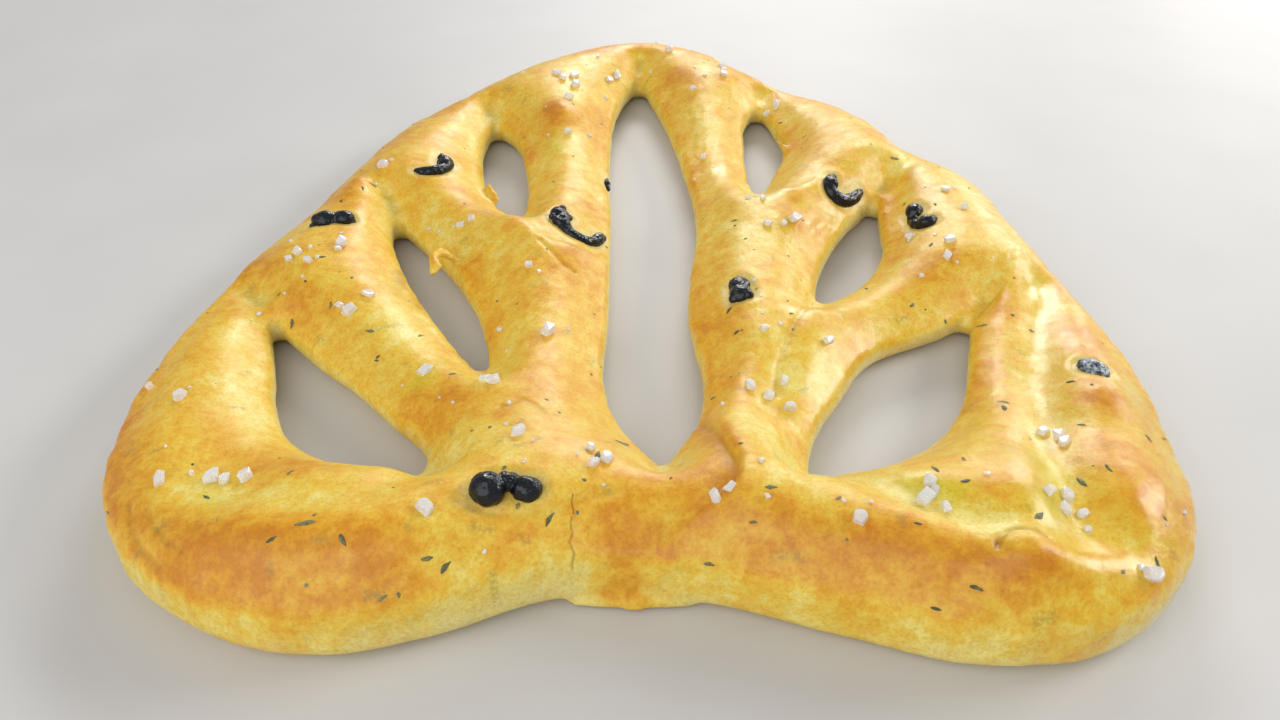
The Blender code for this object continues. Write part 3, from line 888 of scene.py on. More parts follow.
# %% Mark the browned and the pale places
BROWNED = (  # strokes of deeper baking: line, reach, strength
    (((-139, -92), (-136, -112), (-127, -132), (-112, -148), (-97, -158)), 8, 0.62),
    (((-96, -123), (-91, -126)), 9, 0.60), (((-108, -112), (-104, -116)), 8, 0.30),
    (((-62, -151), (-56, -154)), 8, 0.75), (((-86, -159), (-85, -161)), 3.5, 0.45),
    (((-108, -152), (-85, -157), (-66, -158)), 9, 0.45), (((-90, -150), (-72, -150)), 8, 0.25),
    (((-55, -93), (-52, -96)), 6, 0.60), (((-66, -88), (-61, -98)), 4, 0.60),
    (((-26, -82), (-20, -88)), 10, 0.25), (((-34, -104), (-28, -98)), 9, 0.22),
    (((13, -97), (18, -111), (19, -122), (16, -133)), 4.5, 0.70), (((2, -137), (9, -139)), 9, 0.35),
    (((24, -146), (42, -151), (60, -154)), 8, 0.50), (((58, -153), (63, -154)), 5, 0.35),
    (((99, -56), (95, -72), (88, -88)), 5, 0.65), (((117, -98), (119, -101)), 4.5, 0.65),
    (((113, -118), (117, -132)), 12, 0.30), (((124, -58), (127, -74)), 9, 0.30),
    (((17, -56), (18, -70), (20, -90)), 6, 0.40), (((68, -156), (82, -159), (93, -161)), 2.6, 0.45),
    (((-108, 26), (-107, 18)), 7, 0.70), (((-128, -24), (-125, -32)), 9, 0.45),
    (((-111, -43), (-106, -47)), 6, 0.50), (((-62, 22), (-60, 10)), 5, 0.40),
    (((-57, -20), (-52, -38), (-47, -62)), 4.5, 0.55), (((-18, 16), (-16, 11)), 4, 0.50),
    (((-26, -28), (-20, -46)), 10, 0.28), (((17, 50), (18, 20)), 5, 0.50),
    (((16, -22), (16, -52)), 5, 0.50), (((52, -1), (50, -6)), 7, 0.50),
    (((84, 20), (83, 0), (80, -16)), 4, 0.55), (((86, -28), (100, -25)), 5, 0.35),
    (((104, -40), (107, -48)), 6, 0.45), (((24, -52), (25, -60)), 7, 0.30),
    (((90, 38), (86, 25)), 3.5, 0.55), (((-36, 79), (-32, 72)), 5.5, 0.85),
    (((-56, 88), (-48, 74), (-45, 56)), 4, 0.65), (((-16, 92), (-15, 60)), 5, 0.55),
    (((-28, 142), (-12, 149), (6, 150)), 7, 0.50), (((-98, 62), (-90, 80), (-78, 100)), 7, 0.35),
    (((13, 125), (14, 119)), 6, 0.60), (((7, 106), (11, 78)), 5, 0.60),
    (((56, 78), (59, 60)), 5, 0.50), (((87, 66), (89, 61)), 5, 0.45),
    (((20, 149), (38, 130), (56, 114)), 7, 0.32), (((-90, -150), (-60, -158)), 12, 0.25),
    (((0, -150), (14, -146)), 6, 0.35), (((-45, -137), (-30, -141)), 5, 0.20),
    (((-8, -128), (6, -124)), 7, 0.20), (((58, -158), (86, -166)), 8, 0.25),
    (((-6, -143), (-8, -147)), 6, 0.80), (((-34, -145), (-20, -144)), 2.0, 0.45),
    (((14, -95), (19.1, -117.5), (20.7, -124.8), (19.5, -133)), 2.4, 0.70),
    (((66, -157), (71, -157.9), (77, -158.6), (86, -160.5)), 0.9, 0.90),
    (((69, -160), (77, -161.6), (84, -162.2)), 0.8, 0.80), (((-38, 82), (-35, 78)), 4.0, 0.90),
    (((28, -147), (50, -156)), 7, 0.35), (((2, -150), (-2, -152)), 3.5, 0.7),
)
LOW_BROWNED = (  # the same, on the front wall, where the tray was hot
    (((-9, -144), (-6, -149)), 5, 0.85), (((24, -149), (34, -152)), 6, 0.60),
    (((46, -156), (56, -159)), 6, 0.60), (((-2, -151), (0, -152)), 2.5, 1.0),
    (((84, -164), (98, -163)), 7, 0.45), (((-100, -156), (-82, -162)), 7, 0.40),
)
PALE = (  # strokes of pale dough: line, reach, strength
    (((-121, -58), (-114, -82), (-104, -100)), 8, 0.45), (((-112, -131), (-103, -134)), 9, 0.45),
    (((-88, -136), (-66, -140)), 7, 0.35), (((-48, -152), (-40, -154)), 7, 0.40),
    (((-72, -56), (-66, -76)), 7, 0.40), (((-78, -50), (-74, -56)), 7, 0.35),
    (((26, -104), (32, -120), (36, -132)), 8, 0.60), (((60, -135), (75, -148)), 6, 0.50),
    (((36, -60), (44, -84)), 6, 0.35), (((110, 30), (116, 4), (119, -20)), 9, 0.40),
    (((-64, 92), (-63, 60)), 6, 0.45), (((-28, 62), (-24, 38)), 8, 0.30),
    (((88, 52), (100, 44)), 8, 0.40), (((-72, 8), (-68, -2)), 7, 0.30),
    (((38, 34), (36, 14)), 7, 0.35), (((22, 92), (26, 70)), 7, 0.30),
    (((-44, -108), (-34, -122)), 6, 0.25), (((28, -2), (34, -22)), 7, 0.25),
    (((-24, 130), (-18, 116)), 8, 0.20), (((72, -40), (62, -46)), 8, 0.20),
    (((-33.8, -153), (-27, -151.5), (-16, -150)), 2.0, 0.70), (((-24, -4), (-20, -4.5)), 3.0, 0.8),
    (((-62, -112), (-50, -116)), 5, 0.30), (((56, -60), (40, -84)), 4, 0.35),
)
BASE_BROWN, MOST_BROWN = 0.34, 1.15
BULGE_BROWN, STROKE_BROWN, STROKE_PALE = 0.20, 0.58, 0.6  # weights of what browns and what doesn't
SHELTERED_SHARE = 0.25  # of the browning, where neither the height nor the tilt catches the heat
WALL_PALE, OLIVE_PALE, HOLLOW_PALE = 0.8, 0.55, 0.25
WINDOW_SIDE_PAINTED_LIGHT = 0.38  # painted light: walls facing the windows on the right are painted paler, walls on the left less pale
WANDER, WANDER_SIZE = 3.0, 9  # how far the strokes' edges wander, and over what length


def stroked(plan, strokes):
    """Sum of the strokes at each plan point."""
    total = np.zeros(len(plan))
    for line, reach, strength in strokes:
        away, _ = distance_to_line(plan, line)
        total += strength * bell(away, reach)
    return total


plan = points[:, :2]
wander = np.column_stack([noise_at(points, WANDER_SIZE, seed) for seed in (11, 12)])
plan_wandered = plan + WANDER * wander
up = normals[:, 2]
top_heat = soft_step(up, 0.0, 0.8) * soft_step(points[:, 2], 3, 15)
heated = np.tanh(stroked(plan_wandered, BROWNED))
browned = BASE_BROWN + BULGE_BROWN * bulge + STROKE_BROWN * heated
browned -= STROKE_PALE * stroked(plan_wandered, PALE)
browned = np.clip(browned, 0, MOST_BROWN) * (SHELTERED_SHARE + (1 - SHELTERED_SHARE) * top_heat)
low = np.tanh(stroked(plan_wandered, LOW_BROWNED))
browned = np.maximum(browned, low * soft_step(points[:, 2], 1.5, 5))
wall = soft_step(-up, -0.75, -0.1) * (1 - soft_step(points[:, 2], 5, 16))
# painted light: a side wall is paler the more it faces the windows on the right
side = (1 - WINDOW_SIDE_PAINTED_LIGHT) + WINDOW_SIDE_PAINTED_LIGHT * normals[:, 0]
pale_and_painted_light = WALL_PALE * wall * side * (1 - low) + OLIVE_PALE * near_olive
pale_and_painted_light = np.clip(pale_and_painted_light + HOLLOW_PALE * soft_step(-bulge, 0.3, 0.8), 0, 1)
print("browned", round(browned.mean(), 2), "pale_and_painted_light", round(pale_and_painted_light.mean(), 2), "on average")

# %% Mark the oil and the herbs under the skin
OILED = (  # pools and films of oil: line, reach, strength
    (((97, -119), (96, -130), (91, -140)), 6, 1.0), (((104, -75), (105, -82)), 4, 0.6),
    (((60, -133), (72, -138)), 4, 0.8), (((46, -12), (44, -2)), 5, 0.5),
    (((-62, -79), (-64, -83)), 3.5, 0.8), (((25, 48), (28, 42)), 4, 0.5),
    (((-103, -134), (-100, -136)), 4, 0.6), (((-36, 62), (-33, 56)), 4, 0.5),
)
GLAZED = (  # where the crust shines: line, reach, strength
    (((123, -36), (120, -52), (116, -68)), 7, 1.0), (((93, -110), (90, -127), (88, -142)), 7, 1.0),
    (((96, -163), (106, -160), (116, -150)), 12, 1.0), (((134, -90), (134, -112), (127, -134)), 8, 0.9),
    (((45, -90), (56, -74), (68, -62), (84, -52)), 8, 0.8), (((62, 2), (66, 12)), 6, 0.7),
    (((108, -80), (108, -110), (104, -140)), 22, 0.45), (((40, -52), (34, -90)), 12, 0.5),
    (((50, 20), (60, -10)), 14, 0.35), (((112, 20), (118, -20)), 14, 0.35),
)
UNDER_SKIN = (  # herbs that show through the crust: middle, length, angle
    (-76.5, -58.5, 5, 30), (-82.5, -59.5, 4, 20), (-23, -18, 4, 0), (-38, -145, 4, 10),
    (-97, -58, 3, -20), (89, -89, 3, 40), (85.5, -165.5, 4, 10), (58, -51, 4, -60), (-57, 104.5, 4, -30),
    (-76, 80, 3, 60), (-74, 70, 3, 80), (23, 114.5, 3, 60), (61, 96, 4, 0), (84, 47.5, 3, 0),
    (-14, -121, 6, -45), (-33, -110, 3, 20), (20, 22, 3, 70), (20, 12, 3, 60), (100, 20, 3, 0),
    (-50, -134, 4, 10), (-72, -152, 3, 0), (44, -84, 3, 40), (-125, -33, 3, 60), (-121, -42, 3, 40),
    (78, -48, 4, 20), (-60, -160, 4, 10), (30, -150, 3, 0), (-110, -95, 3, 30), (-53, -82, 3, 0),
)
SKIN_HERB_SEED = 5
SKIN_HERBS = 130
SKIN_HERB_WIDTH = 0.8
SEARCH_MARGIN = 2.5  # how far round a herb's ends its shadow is looked for

rng = random.Random(SKIN_HERB_SEED)
scattered = [
    (rng.uniform(-138, 138), rng.uniform(-165, 160), rng.uniform(1, 2.6), rng.uniform(-90, 90))
    for _ in range(SKIN_HERBS)
]
crust_points = plan_tree(plan)
herbs = np.zeros(len(plan))
for x, y, length, angle in (*UNDER_SKIN, *scattered):
    middle = np.array((x, y))
    turn = np.array((math.cos(math.radians(angle)), math.sin(math.radians(angle))))
    within = length / 2 + SEARCH_MARGIN
    found = [i for _, i, _ in crust_points.find_range((x, y, 0), within) if up[i] > 0]
    if found:
        line = (middle - turn * length / 2, middle + turn * length / 2)
        away, _ = distance_to_line(plan[found], line)
        herbs[found] = np.maximum(herbs[found], bell(away, SKIN_HERB_WIDTH))
oiled = np.clip(stroked(plan_wandered, OILED) * soft_step(up, 0.3, 0.8), 0, 1)
glazed = np.clip(stroked(plan_wandered, GLAZED), 0, 1)


def keep(mesh, name, values):
    """Keeps a value for each point as an attribute of the mesh."""
    mesh.attributes.new(name, "FLOAT", "POINT").data.foreach_set("value", values.astype(np.float32))


kept = {"browned": browned, "pale_and_painted_light": pale_and_painted_light, "oiled": oiled, "glazed": glazed, "herbs": herbs, "crease_brown_and_shade": crease_brown_and_shade}
for name, values in kept.items():
    keep(loaf.data, name, values)
print("attributes:", [a.name for a in loaf.data.attributes if a.data_type == "FLOAT"])

# %% [markdown]
# ## The crust material
#
# One Principled shader covers the whole loaf. A colour ramp turns the browning value into crust
# colours, from cream to golden to orange-brown, and the pale, oily and herby places are mixed over
# it. Fine noise mottles the colour and, through a Bump node, gives the skin its grain.

# %% Helpers for materials
def new_material(name):
    """A material, its node tree and its Principled shader."""
    made = bpy.data.materials.new(name)
    made.use_nodes = True
    return made, made.node_tree, made.node_tree.nodes["Principled BSDF"]


def set_values(shader, values):
    for name, value in values.items():
        shader.inputs[name].default_value = value


def fill(tree, socket, value):
    """Links another node's output to the socket, or sets its value."""
    if isinstance(value, bpy.types.NodeSocket):
        tree.links.new(value, socket)
    elif isinstance(value, tuple) and len(value) == 3:
        socket.default_value = (*value, 1.0)
    else:
        socket.default_value = value


def attribute(tree, name):
    made = tree.nodes.new("ShaderNodeAttribute")
    made.attribute_name = name
    return made.outputs["Fac"]


def noise_node(tree, size, detail=3.0, roughness=0.5):
    """Noise with lumps of that size in millimetres, from 0 to 1."""
    made = tree.nodes.new("ShaderNodeTexNoise")
    tree.links.new(tree.nodes.new("ShaderNodeTexCoord").outputs["Object"], made.inputs["Vector"])
    made.inputs["Scale"].default_value = 1 / (size * MM)
    made.inputs["Detail"].default_value = detail
    made.inputs["Roughness"].default_value = roughness
    return made.outputs["Fac"]


def maths(tree, operation, first, second=0.0, clamp=False):
    made = tree.nodes.new("ShaderNodeMath")
    made.operation = operation
    made.use_clamp = clamp
    fill(tree, made.inputs[0], first)
    fill(tree, made.inputs[1], second)
    return made.outputs[0]


def mix(tree, share, first, second, mode="MIX"):
    """A colour between two others."""
    made = tree.nodes.new("ShaderNodeMix")
    made.data_type = "RGBA"
    made.blend_type = mode
    fill(tree, made.inputs[0], share)
    fill(tree, made.inputs[6], first)
    fill(tree, made.inputs[7], second)
    return made.outputs[2]


def between(tree, value, low, high, out_low=0.0, out_high=1.0):
    """Maps low..high smoothly to out_low..out_high."""
    made = tree.nodes.new("ShaderNodeMapRange")
    made.interpolation_type = "SMOOTHSTEP"
    fill(tree, made.inputs["Value"], value)
    made.inputs["From Min"].default_value = low
    made.inputs["From Max"].default_value = high
    made.inputs["To Min"].default_value = out_low
    made.inputs["To Max"].default_value = out_high
    return made.outputs["Result"]


def ramp(tree, value, stops):
    made = tree.nodes.new("ShaderNodeValToRGB")
    elements = made.color_ramp.elements
    while len(elements) < len(stops):
        elements.new(0.5)
    for element, (where, colour) in zip(elements, stops):
        element.position = where
        element.color = (*colour, 1.0)
    fill(tree, made.inputs["Fac"], value)
    return made.outputs["Color"]


def bump(tree, height, strength, depth, under=None):
    made = tree.nodes.new("ShaderNodeBump")
    made.inputs["Strength"].default_value = strength
    made.inputs["Distance"].default_value = depth * MM
    fill(tree, made.inputs["Height"], height)
    if under is not None:
        tree.links.new(under, made.inputs["Normal"])
    return made.outputs["Normal"]


print("material helpers are ready")

# %% Mix the crust
CRUST_STOPS = (
    (0.00, (0.83, 0.68, 0.17)),
    (0.25, (0.80, 0.555, 0.060)),
    (0.50, (0.78, 0.450, 0.028)),
    (0.75, (0.72, 0.330, 0.008)),
    (1.00, (0.63, 0.235, 0.003)),
)
PALE_DOUGH = (0.80, 0.69, 0.28)
HERB_SHADOW = (0.26, 0.24, 0.07)
OIL_TINT = (0.66, 0.56, 0.02)
# browner crust with painted shade, for creases and the crack
CREASE_BROWN_AND_SHADE = (0.34, 0.12, 0.006)
SPECKLES = ((0.36, (0.88, 0.79, 0.56)), (0.50, (1, 1, 1)), (0.64, (1.05, 1.09, 1.25)))
WET_SMOOTHING = 0.28  # how much of the roughness oil and glaze take away


def crust_material():
    made, tree, shader = new_material("crust")
    patches = between(tree, noise_node(tree, 14, 3), 0.3, 0.7, -0.13, 0.13)
    mottle = between(tree, noise_node(tree, 3.6, 5, 0.62), 0.3, 0.7, -0.18, 0.18)
    heat = maths(tree, "ADD", attribute(tree, "browned"), patches)
    colour = ramp(tree, maths(tree, "ADD", heat, mottle, clamp=True), CRUST_STOPS)
    uneven = between(tree, noise_node(tree, 9, 3), 0.3, 0.7, -0.15, 0.15)
    # pale dough, plus painted light on side walls that face the windows
    edge = maths(tree, "ADD", attribute(tree, "pale_and_painted_light"), uneven)
    colour = mix(tree, between(tree, edge, 0.1, 0.95, 0.0, 0.85), colour, PALE_DOUGH)
    flecks = between(tree, noise_node(tree, 0.9, 2), 0.3, 0.6)
    under = maths(tree, "MULTIPLY", attribute(tree, "herbs"), flecks)
    colour = mix(tree, maths(tree, "MULTIPLY", under, 0.5), colour, HERB_SHADOW)
    oil = attribute(tree, "oiled")
    colour = mix(tree, maths(tree, "MULTIPLY", oil, 0.75), colour, OIL_TINT)
    grain = noise_node(tree, 1.0, 5, 0.78)
    colour = mix(tree, 1.0, colour, ramp(tree, grain, SPECKLES), "MULTIPLY")
    # creases and the crack: browner crust and painted shade in the groove
    colour = mix(tree, attribute(tree, "crease_brown_and_shade"), colour, CREASE_BROWN_AND_SHADE)
    fill(tree, shader.inputs["Base Color"], colour)
    dry = between(tree, noise_node(tree, 7, 3), 0.3, 0.7, 0.38, 0.54)
    wet = maths(tree, "MAXIMUM", oil, attribute(tree, "glazed"))
    wet = maths(tree, "MULTIPLY", wet, WET_SMOOTHING)
    fill(tree, shader.inputs["Roughness"], maths(tree, "SUBTRACT", dry, wet, clamp=True))
    set_values(shader, {
        "Specular IOR Level": 0.48, "Coat Weight": 0.12, "Coat Roughness": 0.20,
        "Subsurface Weight": 0.10, "Subsurface Radius": (1.0, 0.55, 0.2), "Subsurface Scale": 1.0 * MM,
    })
    pores = bump(tree, noise_node(tree, 2.2, 4, 0.6), 0.45, 0.28)
    fine = bump(tree, grain, 0.55, 0.16, under=pores)
    fill(tree, shader.inputs["Normal"], fine)
    fill(tree, shader.inputs["Coat Normal"], fine)
    return made


crust = crust_material()
loaf.data.materials.clear()
loaf.data.materials.append(crust)
loaf.data.shade_smooth()
loaf.name = "crusty_bread"
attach(loaf, "root")
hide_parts("bread")
print("crust:", len(crust.node_tree.nodes), "nodes")

# %% [markdown]
# ## The olive skin
#
# Black olive skin is nearly black, a little bluer in some patches, with a cold sheen where it is wet.
# A single dark colour would look like plastic. A little noise moves both the colour and the
# roughness, because wet and dry patches shine differently.

# %% Mix the olive skin
OLIVE_STOPS = ((0.35, (0.001, 0.002, 0.004)), (0.60, (0.003, 0.006, 0.012)), (0.78, (0.010, 0.018, 0.030)))


def olive_material():
    made, tree, shader = new_material("olive skin")
    fill(tree, shader.inputs["Base Color"], ramp(tree, noise_node(tree, 1.8, 4, 0.6), OLIVE_STOPS))
    dull = between(tree, noise_node(tree, 2.6, 3), 0.35, 0.65, 0.26, 0.40)
    fill(tree, shader.inputs["Roughness"], dull)
    set_values(shader, {"Specular IOR Level": 0.18, "Coat Weight": 0.5, "Coat Roughness": 0.10})
    creases = bump(tree, noise_node(tree, 0.7, 4, 0.65), 0.7, 0.22)
    fill(tree, shader.inputs["Normal"], bump(tree, noise_node(tree, 0.25, 2), 0.25, 0.05, under=creases))
    return made


olive_skin = olive_material()
for olive in olives:
    olive.data.materials.clear()
    olive.data.materials.append(olive_skin)
print("olive skin:", len(olive_skin.node_tree.nodes), "nodes")

# %% Mix the skin of the olive that shows through the dough
VEIL_STOPS = ((0.42, (0.012, 0.016, 0.024)), (0.52, (0.13, 0.18, 0.24)), (0.60, (0.50, 0.56, 0.56)))


def veiled_olive_material():
    """Olive skin under a thin, torn film of dough: blue-grey streaks over black."""
    made, tree, shader = new_material("veiled olive")
    streaks = noise_node(tree, 1.3, 5, 0.7)
    fill(tree, shader.inputs["Base Color"], ramp(tree, streaks, VEIL_STOPS))
    fill(tree, shader.inputs["Roughness"], between(tree, streaks, 0.35, 0.65, 0.24, 0.42))
    set_values(shader, {"Coat Weight": 0.3, "Coat Roughness": 0.15})
    fill(tree, shader.inputs["Normal"], bump(tree, streaks, 0.6, 0.25))
    return made


veiled = bpy.data.objects["olive_right_edge_flesh"]
veiled.data.materials[0] = veiled_olive_material()
print(veiled.name, "shows through the dough")

# %% [markdown]
# ## The salt
#
# Coarse salt is a blocky, half-clear crystal of 3 to 4 mm. Grains fall in pinches, so pinches are
# listed one by one and their grains strewn by a seeded rule, which also made the imported model.
# Particles would be lost on export, so each grain is made as a mesh, and all are joined to one
# piece. A bevel catches the light on the edges of each grain.

# %% Strew the coarse salt
SALT = (  # middle of the pinch, scatter, grains
    ((-34, 108), 8, 6), ((-14, 123), 8, 2), ((-31, 90), 1, 1), ((11, 145), 4, 2), ((32, 120), 8, 4),
    ((54, 101), 5, 2), ((21, 106), 1, 1), ((23, 54), 8, 2), ((-28, 66), 2, 1), ((-95, 35), 1, 1),
    ((-62, 0), 4, 2), ((-98, -19), 4, 2), ((-109, -28), 7, 4), ((-88, -45), 9, 3), ((-37, -30), 1, 1),
    ((-32, -64), 6, 2), ((-61, -79), 1, 1), ((-44, -86), 6, 2), ((-31, -115), 3, 2), ((-13, -122), 6, 5),
    ((-137, -86), 2, 1), ((-125, -94), 1, 1), ((-117, -127), 1, 1), ((-100, -125), 6, 5),
    ((-51, -144), 3, 2), ((107, 11), 8, 3), ((88, -8), 1, 1), ((99, -22), 6, 3), ((47, -3), 7, 3),
    ((38, 16), 6, 2), ((35, -48), 1, 1), ((37, -63), 4, 2), ((53, -64), 1, 1), ((35, -90), 9, 4),
    ((18, -139), 4, 2), ((47, -146), 1, 1), ((65, -136), 7, 4), ((103, -111), 6, 3), ((96, -136), 6, 4),
    ((114, -152), 4, 2),
)
GRAIN = (2.6, 4.2)  # smallest and largest grain
GRAIN_SEED = 20
CHIP_SEED = 7
CLEAR_OF_OLIVE = 2.2
LOWEST_GRAIN = 6  # height over the table: there is no salt on the lower walls
STEEPEST = 0.35  # least upward share of the crust's normal where a grain stays
RAISED = 0.14  # share of its size by which a grain's middle lies over the crust
BROKEN_CORNERS = 0.65  # share of a grain's corners that are broken off
GRAIN_EDGE = 0.09  # width of the bevel, as a share of the grain's smallest half


def grain_shape(rng, size):
    """A blocky, uneven crystal."""
    shape = bmesh.new()
    bmesh.ops.create_icosphere(shape, subdivisions=1, radius=size / 2 * MM)
    squash = Vector((rng.uniform(0.9, 1.25), rng.uniform(0.75, 1.0), rng.uniform(0.6, 0.85)))
    for vertex in shape.verts:
        vertex.co = vertex.co * squash * rng.uniform(0.86, 1.12)
    return shape


def shard(shape, rng, growth=1.1):
    """The flat-faced crystal that just fills the rounded grain: a box with some corners broken off."""
    half = [growth * max(abs(v.co[axis]) for v in shape.verts) for axis in range(3)]
    broken = bmesh.new()
    for corner in itertools.product((-1, 1), repeat=3):
        tip = Vector(c * h * rng.uniform(0.62, 1.0) for c, h in zip(corner, half))
        if rng.random() < BROKEN_CORNERS:
            for axis in range(3):
                moved = tip.copy()
                moved[axis] *= rng.uniform(-0.1, 0.6)
                broken.verts.new(moved)
        else:
            broken.verts.new(tip)
    hull = bmesh.ops.convex_hull(broken, input=broken.verts)
    left_over = hull["geom_interior"] + hull["geom_unused"]
    inner = {element for element in left_over if isinstance(element, bmesh.types.BMVert)}
    bmesh.ops.delete(broken, geom=list(inner), context="VERTS")
    bmesh.ops.dissolve_limit(broken, angle_limit=0.2, verts=broken.verts, edges=broken.edges)
    edge = GRAIN_EDGE * min(half)
    bmesh.ops.bevel(broken, geom=broken.edges, offset=edge, segments=1, affect="EDGES")
    bmesh.ops.recalc_face_normals(broken, faces=broken.faces)
    return broken


def strewn(rng):
    """Plan places of the grains, pinch by pinch."""
    for (x, y), scatter, count in SALT:
        for _ in range(count):
            angle = rng.uniform(0, 2 * math.pi)
            away = scatter * math.sqrt(rng.uniform(0, 1))
            yield x + away * math.cos(angle), y + away * math.sin(angle)


def facing(normal, spin):
    """A turn that stands a shape on the crust, spun about its own axis."""
    turn = normal.to_track_quat("Z", "Y") @ Matrix.Rotation(spin, 3, "Z").to_quaternion()
    return turn.to_matrix().to_4x4()


def set_down(heap, shape, spot, normal, spin, raised):
    """Adds the shape to the heap, turned to the crust, with its middle raised so far over the spot."""
    shape.transform(Matrix.Translation(spot + normal * raised) @ facing(normal, spin))
    piece = bpy.data.meshes.new("piece")
    shape.to_mesh(piece)
    heap.from_mesh(piece)
    bpy.data.meshes.remove(piece)


def mesh_object(name, shape, material):
    """An object made of the shape, which is used up."""
    mesh = bpy.data.meshes.new(name)
    shape.to_mesh(mesh)
    shape.free()
    mesh.materials.append(material)
    made = bpy.data.objects.new(name, mesh)
    bpy.context.scene.collection.objects.link(made)
    return made


def new_piece(name, heap, material):
    """An object of the heap's mesh, riding on the bread."""
    made = mesh_object(name, heap, material)
    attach(made, "root")
    return made


crust_tree = surface_tree(loaf)
olive_trees = [surface_tree(olive) for olive in olives]
rng, chips = random.Random(GRAIN_SEED), random.Random(CHIP_SEED)
heap, taken = bmesh.new(), []
for x, y in strewn(rng):
    size = rng.uniform(*GRAIN)
    spin = rng.uniform(0, 2 * math.pi)
    shape = grain_shape(rng, size)
    spot, normal = drop(crust_tree, x, y)
    crowded = spot is None or normal.z < STEEPEST or spot.z < LOWEST_GRAIN * MM
    crowded = crowded or any((spot - other).length < size * MM for other in taken)
    reach = (size / 2 + CLEAR_OF_OLIVE) * MM
    crowded = crowded or any(olive.find_nearest(spot, reach)[0] is not None for olive in olive_trees)
    if not crowded:
        taken.append(spot)
        set_down(heap, shard(shape, chips), spot, normal, spin, RAISED * size * MM)
    shape.free()
print(len(taken), "coarse grains")

# %% Add the small broken grains
CRUMB = (0.7, 1.7)  # smallest and largest
CRUMBS = 90
CRUMB_SEED = 31
CRUMB_SPREAD = 4  # how much wider than the coarse grains they are strewn
CRUMB_STEEPEST, CRUMB_RAISED = 0.4, 0.1

rng = random.Random(CRUMB_SEED)
crumbs = 0
for _ in range(CRUMBS):
    (x, y), scatter, _ = rng.choice(SALT)
    scatter += CRUMB_SPREAD
    x, y = x + rng.gauss(0, scatter), y + rng.gauss(0, scatter)
    size, spin = rng.uniform(*CRUMB), rng.uniform(0, 2 * math.pi)
    shape = grain_shape(rng, size)
    spot, normal = drop(crust_tree, x, y)
    if spot is not None and normal.z > CRUMB_STEEPEST and spot.z > LOWEST_GRAIN * MM:
        set_down(heap, shard(shape, chips), spot, normal, spin, CRUMB_RAISED * size * MM)
        crumbs += 1
    shape.free()
print(crumbs, "small grains")

# %% Mix the salt and make it one piece
def salt_material():
    made, tree, shader = new_material("coarse salt")
    cloud = noise_node(tree, 1.2, 3)
    colour = ramp(tree, cloud, ((0.3, (0.97, 0.95, 0.93)), (0.7, (1.0, 1.0, 1.0))))
    fill(tree, shader.inputs["Base Color"], colour)
    fill(tree, shader.inputs["Roughness"], between(tree, noise_node(tree, 0.6, 2), 0.3, 0.7, 0.10, 0.28))
    set_values(shader, {"Transmission Weight": 0.35, "IOR": 1.45})
    fill(tree, shader.inputs["Normal"], bump(tree, noise_node(tree, 1.4, 2), 0.15, 0.08))
    return made


salt = new_piece("coarse_salt", heap, salt_material())
print("salt:", len(salt.data.polygons), "faces")

# %% [markdown]
# ## The herbs
#
# The dried herbs are needles and flakes, 1 to 5 mm long, dark green to brown. Each is a short bent
# blade with a raised middle, half sunk in the crust. The largest are placed where they lie on the
# real loaf, and the small ones are scattered by a seeded rule.

# %% Scatter the herbs
HERBS = (  # the largest: place, length, angle in degrees
    (-76, -148, 4.8, 60), (-83, -151.5, 2.6, 50), (-67, -152, 3.2, -60), (-49, -153, 2.8, -10),
    (-45, -153.5, 3.4, 30), (-22.5, -141, 3.8, 40), (-131, -131, 2.2, 20), (-104, -134, 2.4, -40),
    (-85, -129, 2.2, 70), (-81, -60, 3.0, 20), (-66.5, -59, 3.0, -60), (-54, -81.5, 2.2, 10),
    (-6.5, -109, 5.0, 80), (-12, -122, 5.0, -45), (96, -93, 3.4, -60), (95, -96.5, 3.4, 55),
    (68, -129.5, 3.4, 80), (76, -125, 2.4, 70), (73.5, -135, 2.4, 80), (104, -129, 3.8, 20),
    (110.5, -127, 3.0, 15), (127, -111.5, 2.8, 25), (114.5, -89, 3.0, 80), (111, -108, 2.6, 70),
    (88, -144.5, 3.2, -15), (28.5, -136.5, 3.2, -30), (43.5, -139.5, 1.8, 0), (71, -161, 3.2, -15),
    (62.5, -163, 2.4, 0), (26.5, -62, 2.2, -60), (18.5, -86, 2.2, 80), (115, -151, 3.6, 60),
    (-108, -49.5, 3.2, -60), (-95.5, -48, 3.0, -55), (-97, 25, 3.2, 80), (-99, 19, 2.6, 25),
    (-105, 12, 2.0, 0), (-102, -27, 2.4, -60), (93, 46, 3.6, -30), (30, 0.5, 2.6, 80), (99, 7.5, 2.2, 0),
    (70, -31.5, 2.8, 60), (92, -18.5, 2.4, -30), (82, -43, 2.2, 30), (102, -51, 4.2, 70),
    (25, -51, 3.0, -60), (115, -56.5, 2.4, 60), (-75, 46, 2.0, 80), (62, 68, 2.4, -60), (55.5, 90, 2.4, 60),
    (-33, 33, 2.2, 40), (134, -107, 2.4, -70), (-139, -75, 1.8, 60), (24, -144, 2.0, 10),
    (14, -149, 2.6, 0), (-58, -160, 2.6, 20), (-30, -139, 2.0, 10), (60, -148, 2.0, -20),
)
SMALL_HERBS = 130
HERB_SEED = 8
BLADE_STEPS = 5
LIFT = 0.02  # a herb's middle lies this far over the crust
LOWEST_HERB = 4  # height over the table


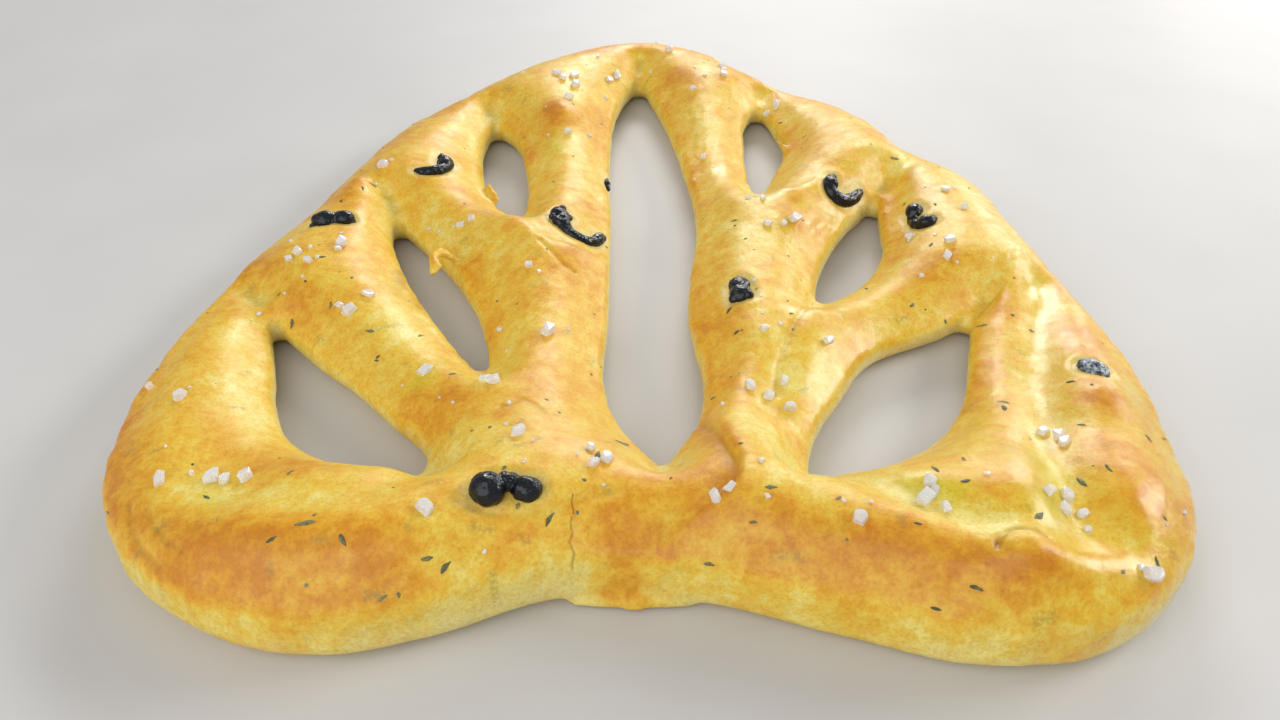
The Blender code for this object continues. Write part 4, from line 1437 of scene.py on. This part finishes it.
def blade(rng, length, width):
    """A slightly bent, pointed leaf, whose cross-sections are flat diamonds."""
    shape = bmesh.new()
    bend = rng.uniform(-0.10, 0.10) * length
    widest = rng.uniform(0.35, 0.6)
    rings = []
    for step in range(BLADE_STEPS + 1):
        t = step / BLADE_STEPS
        fullness = math.sin(math.pi * (0.06 + 0.88 * t)) ** (0.7 if t < widest else 1.2)
        half = width / 2 * fullness * rng.uniform(0.8, 1.15)
        middle = Vector(((t - 0.5) * length, bend * math.sin(math.pi * t), rng.uniform(-0.05, 0.08)))
        corners = ((0, half, 0), (0, 0, half * 0.35), (0, -half, 0), (0, 0, -half * 0.35))
        rings.append([shape.verts.new((middle + Vector(c)) * MM) for c in corners])
    for near, far in zip(rings[:-1], rings[1:]):
        for i in range(4):
            shape.faces.new((near[i], near[(i + 1) % 4], far[(i + 1) % 4], far[i]))
    shape.faces.new(rings[0][::-1])
    shape.faces.new(rings[-1])
    bmesh.ops.recalc_face_normals(shape, faces=shape.faces)
    return shape


rng = random.Random(HERB_SEED)
small = []
while len(small) < SMALL_HERBS:
    x, y = rng.uniform(-140, 140), rng.uniform(-166, 160)
    if rng.random() < 0.45 + 0.4 * (y < -40) + 0.15 * (x > 40):
        small.append((x, y, rng.uniform(0.6, 1.7), math.degrees(rng.uniform(0, math.pi))))
heap, laid = bmesh.new(), 0
for x, y, length, angle in (*HERBS, *small):
    shape = blade(rng, length, rng.uniform(0.7, 1.1) * (0.7 + 0.2 * length))
    spot, normal = drop(crust_tree, x, y)
    if spot is not None and spot.z > LOWEST_HERB * MM:
        shape.transform(Matrix.Rotation(math.radians(angle), 4, "Z"))
        set_down(heap, shape, spot, normal, 0.0, LIFT * MM)
        laid += 1
    shape.free()
print(laid, "herbs")

# %% Mix the herb colours and make them one piece
HERB_STOPS = (
    (0.35, (0.075, 0.085, 0.030)),
    (0.50, (0.17, 0.17, 0.070)),
    (0.62, (0.30, 0.26, 0.10)),
    (0.72, (0.15, 0.100, 0.040)),
)


def herb_material():
    made, tree, shader = new_material("dried herbs")
    colour = ramp(tree, noise_node(tree, 6, 2), HERB_STOPS)
    streaks = ramp(tree, noise_node(tree, 0.5, 2), ((0.35, (0.6, 0.6, 0.6)), (0.65, (1.2, 1.2, 1.2))))
    fill(tree, shader.inputs["Base Color"], mix(tree, 1.0, colour, streaks, "MULTIPLY"))
    fill(tree, shader.inputs["Roughness"], between(tree, noise_node(tree, 2, 2), 0.3, 0.7, 0.35, 0.6))
    return made


herb_piece = new_piece("dried_herbs", heap, herb_material())
print("herbs:", len(herb_piece.data.polygons), "faces")

# %% [markdown]
# ## The table
#
# The bread lies on a plain, pale, slightly warm table top. It is stage: it only catches the shadow.
# A plane is enough, and it lies a hair lower than the bread, so that the two never flicker.

# %% Lay the table
def table_material():
    made, tree, shader = new_material("table top")
    veil = ramp(tree, noise_node(tree, 60, 2), ((0.3, (0.60, 0.59, 0.58)), (0.7, (0.63, 0.62, 0.61))))
    fill(tree, shader.inputs["Base Color"], veil)
    set_values(shader, {"Roughness": 0.55})
    return made


TABLE_HALF = 2500
TABLE_DROP = 0.2

shape = bmesh.new()
bmesh.ops.create_grid(shape, x_segments=1, y_segments=1, size=TABLE_HALF * MM)
table = mesh_object("table", shape, table_material())
table.location.z = -TABLE_DROP * MM
table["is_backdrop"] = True
print("table", [round(side, 1) for side in table.dimensions], "m")

# %% Print the sizes and finish
sizes = {"cad": [list(corner) for corner in cad_box], "scene": [list(corner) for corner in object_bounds()]}
print("sizes in mm:", {k: [[round(x / MM, 1) for x in c] for c in v] for k, v in sizes.items()})
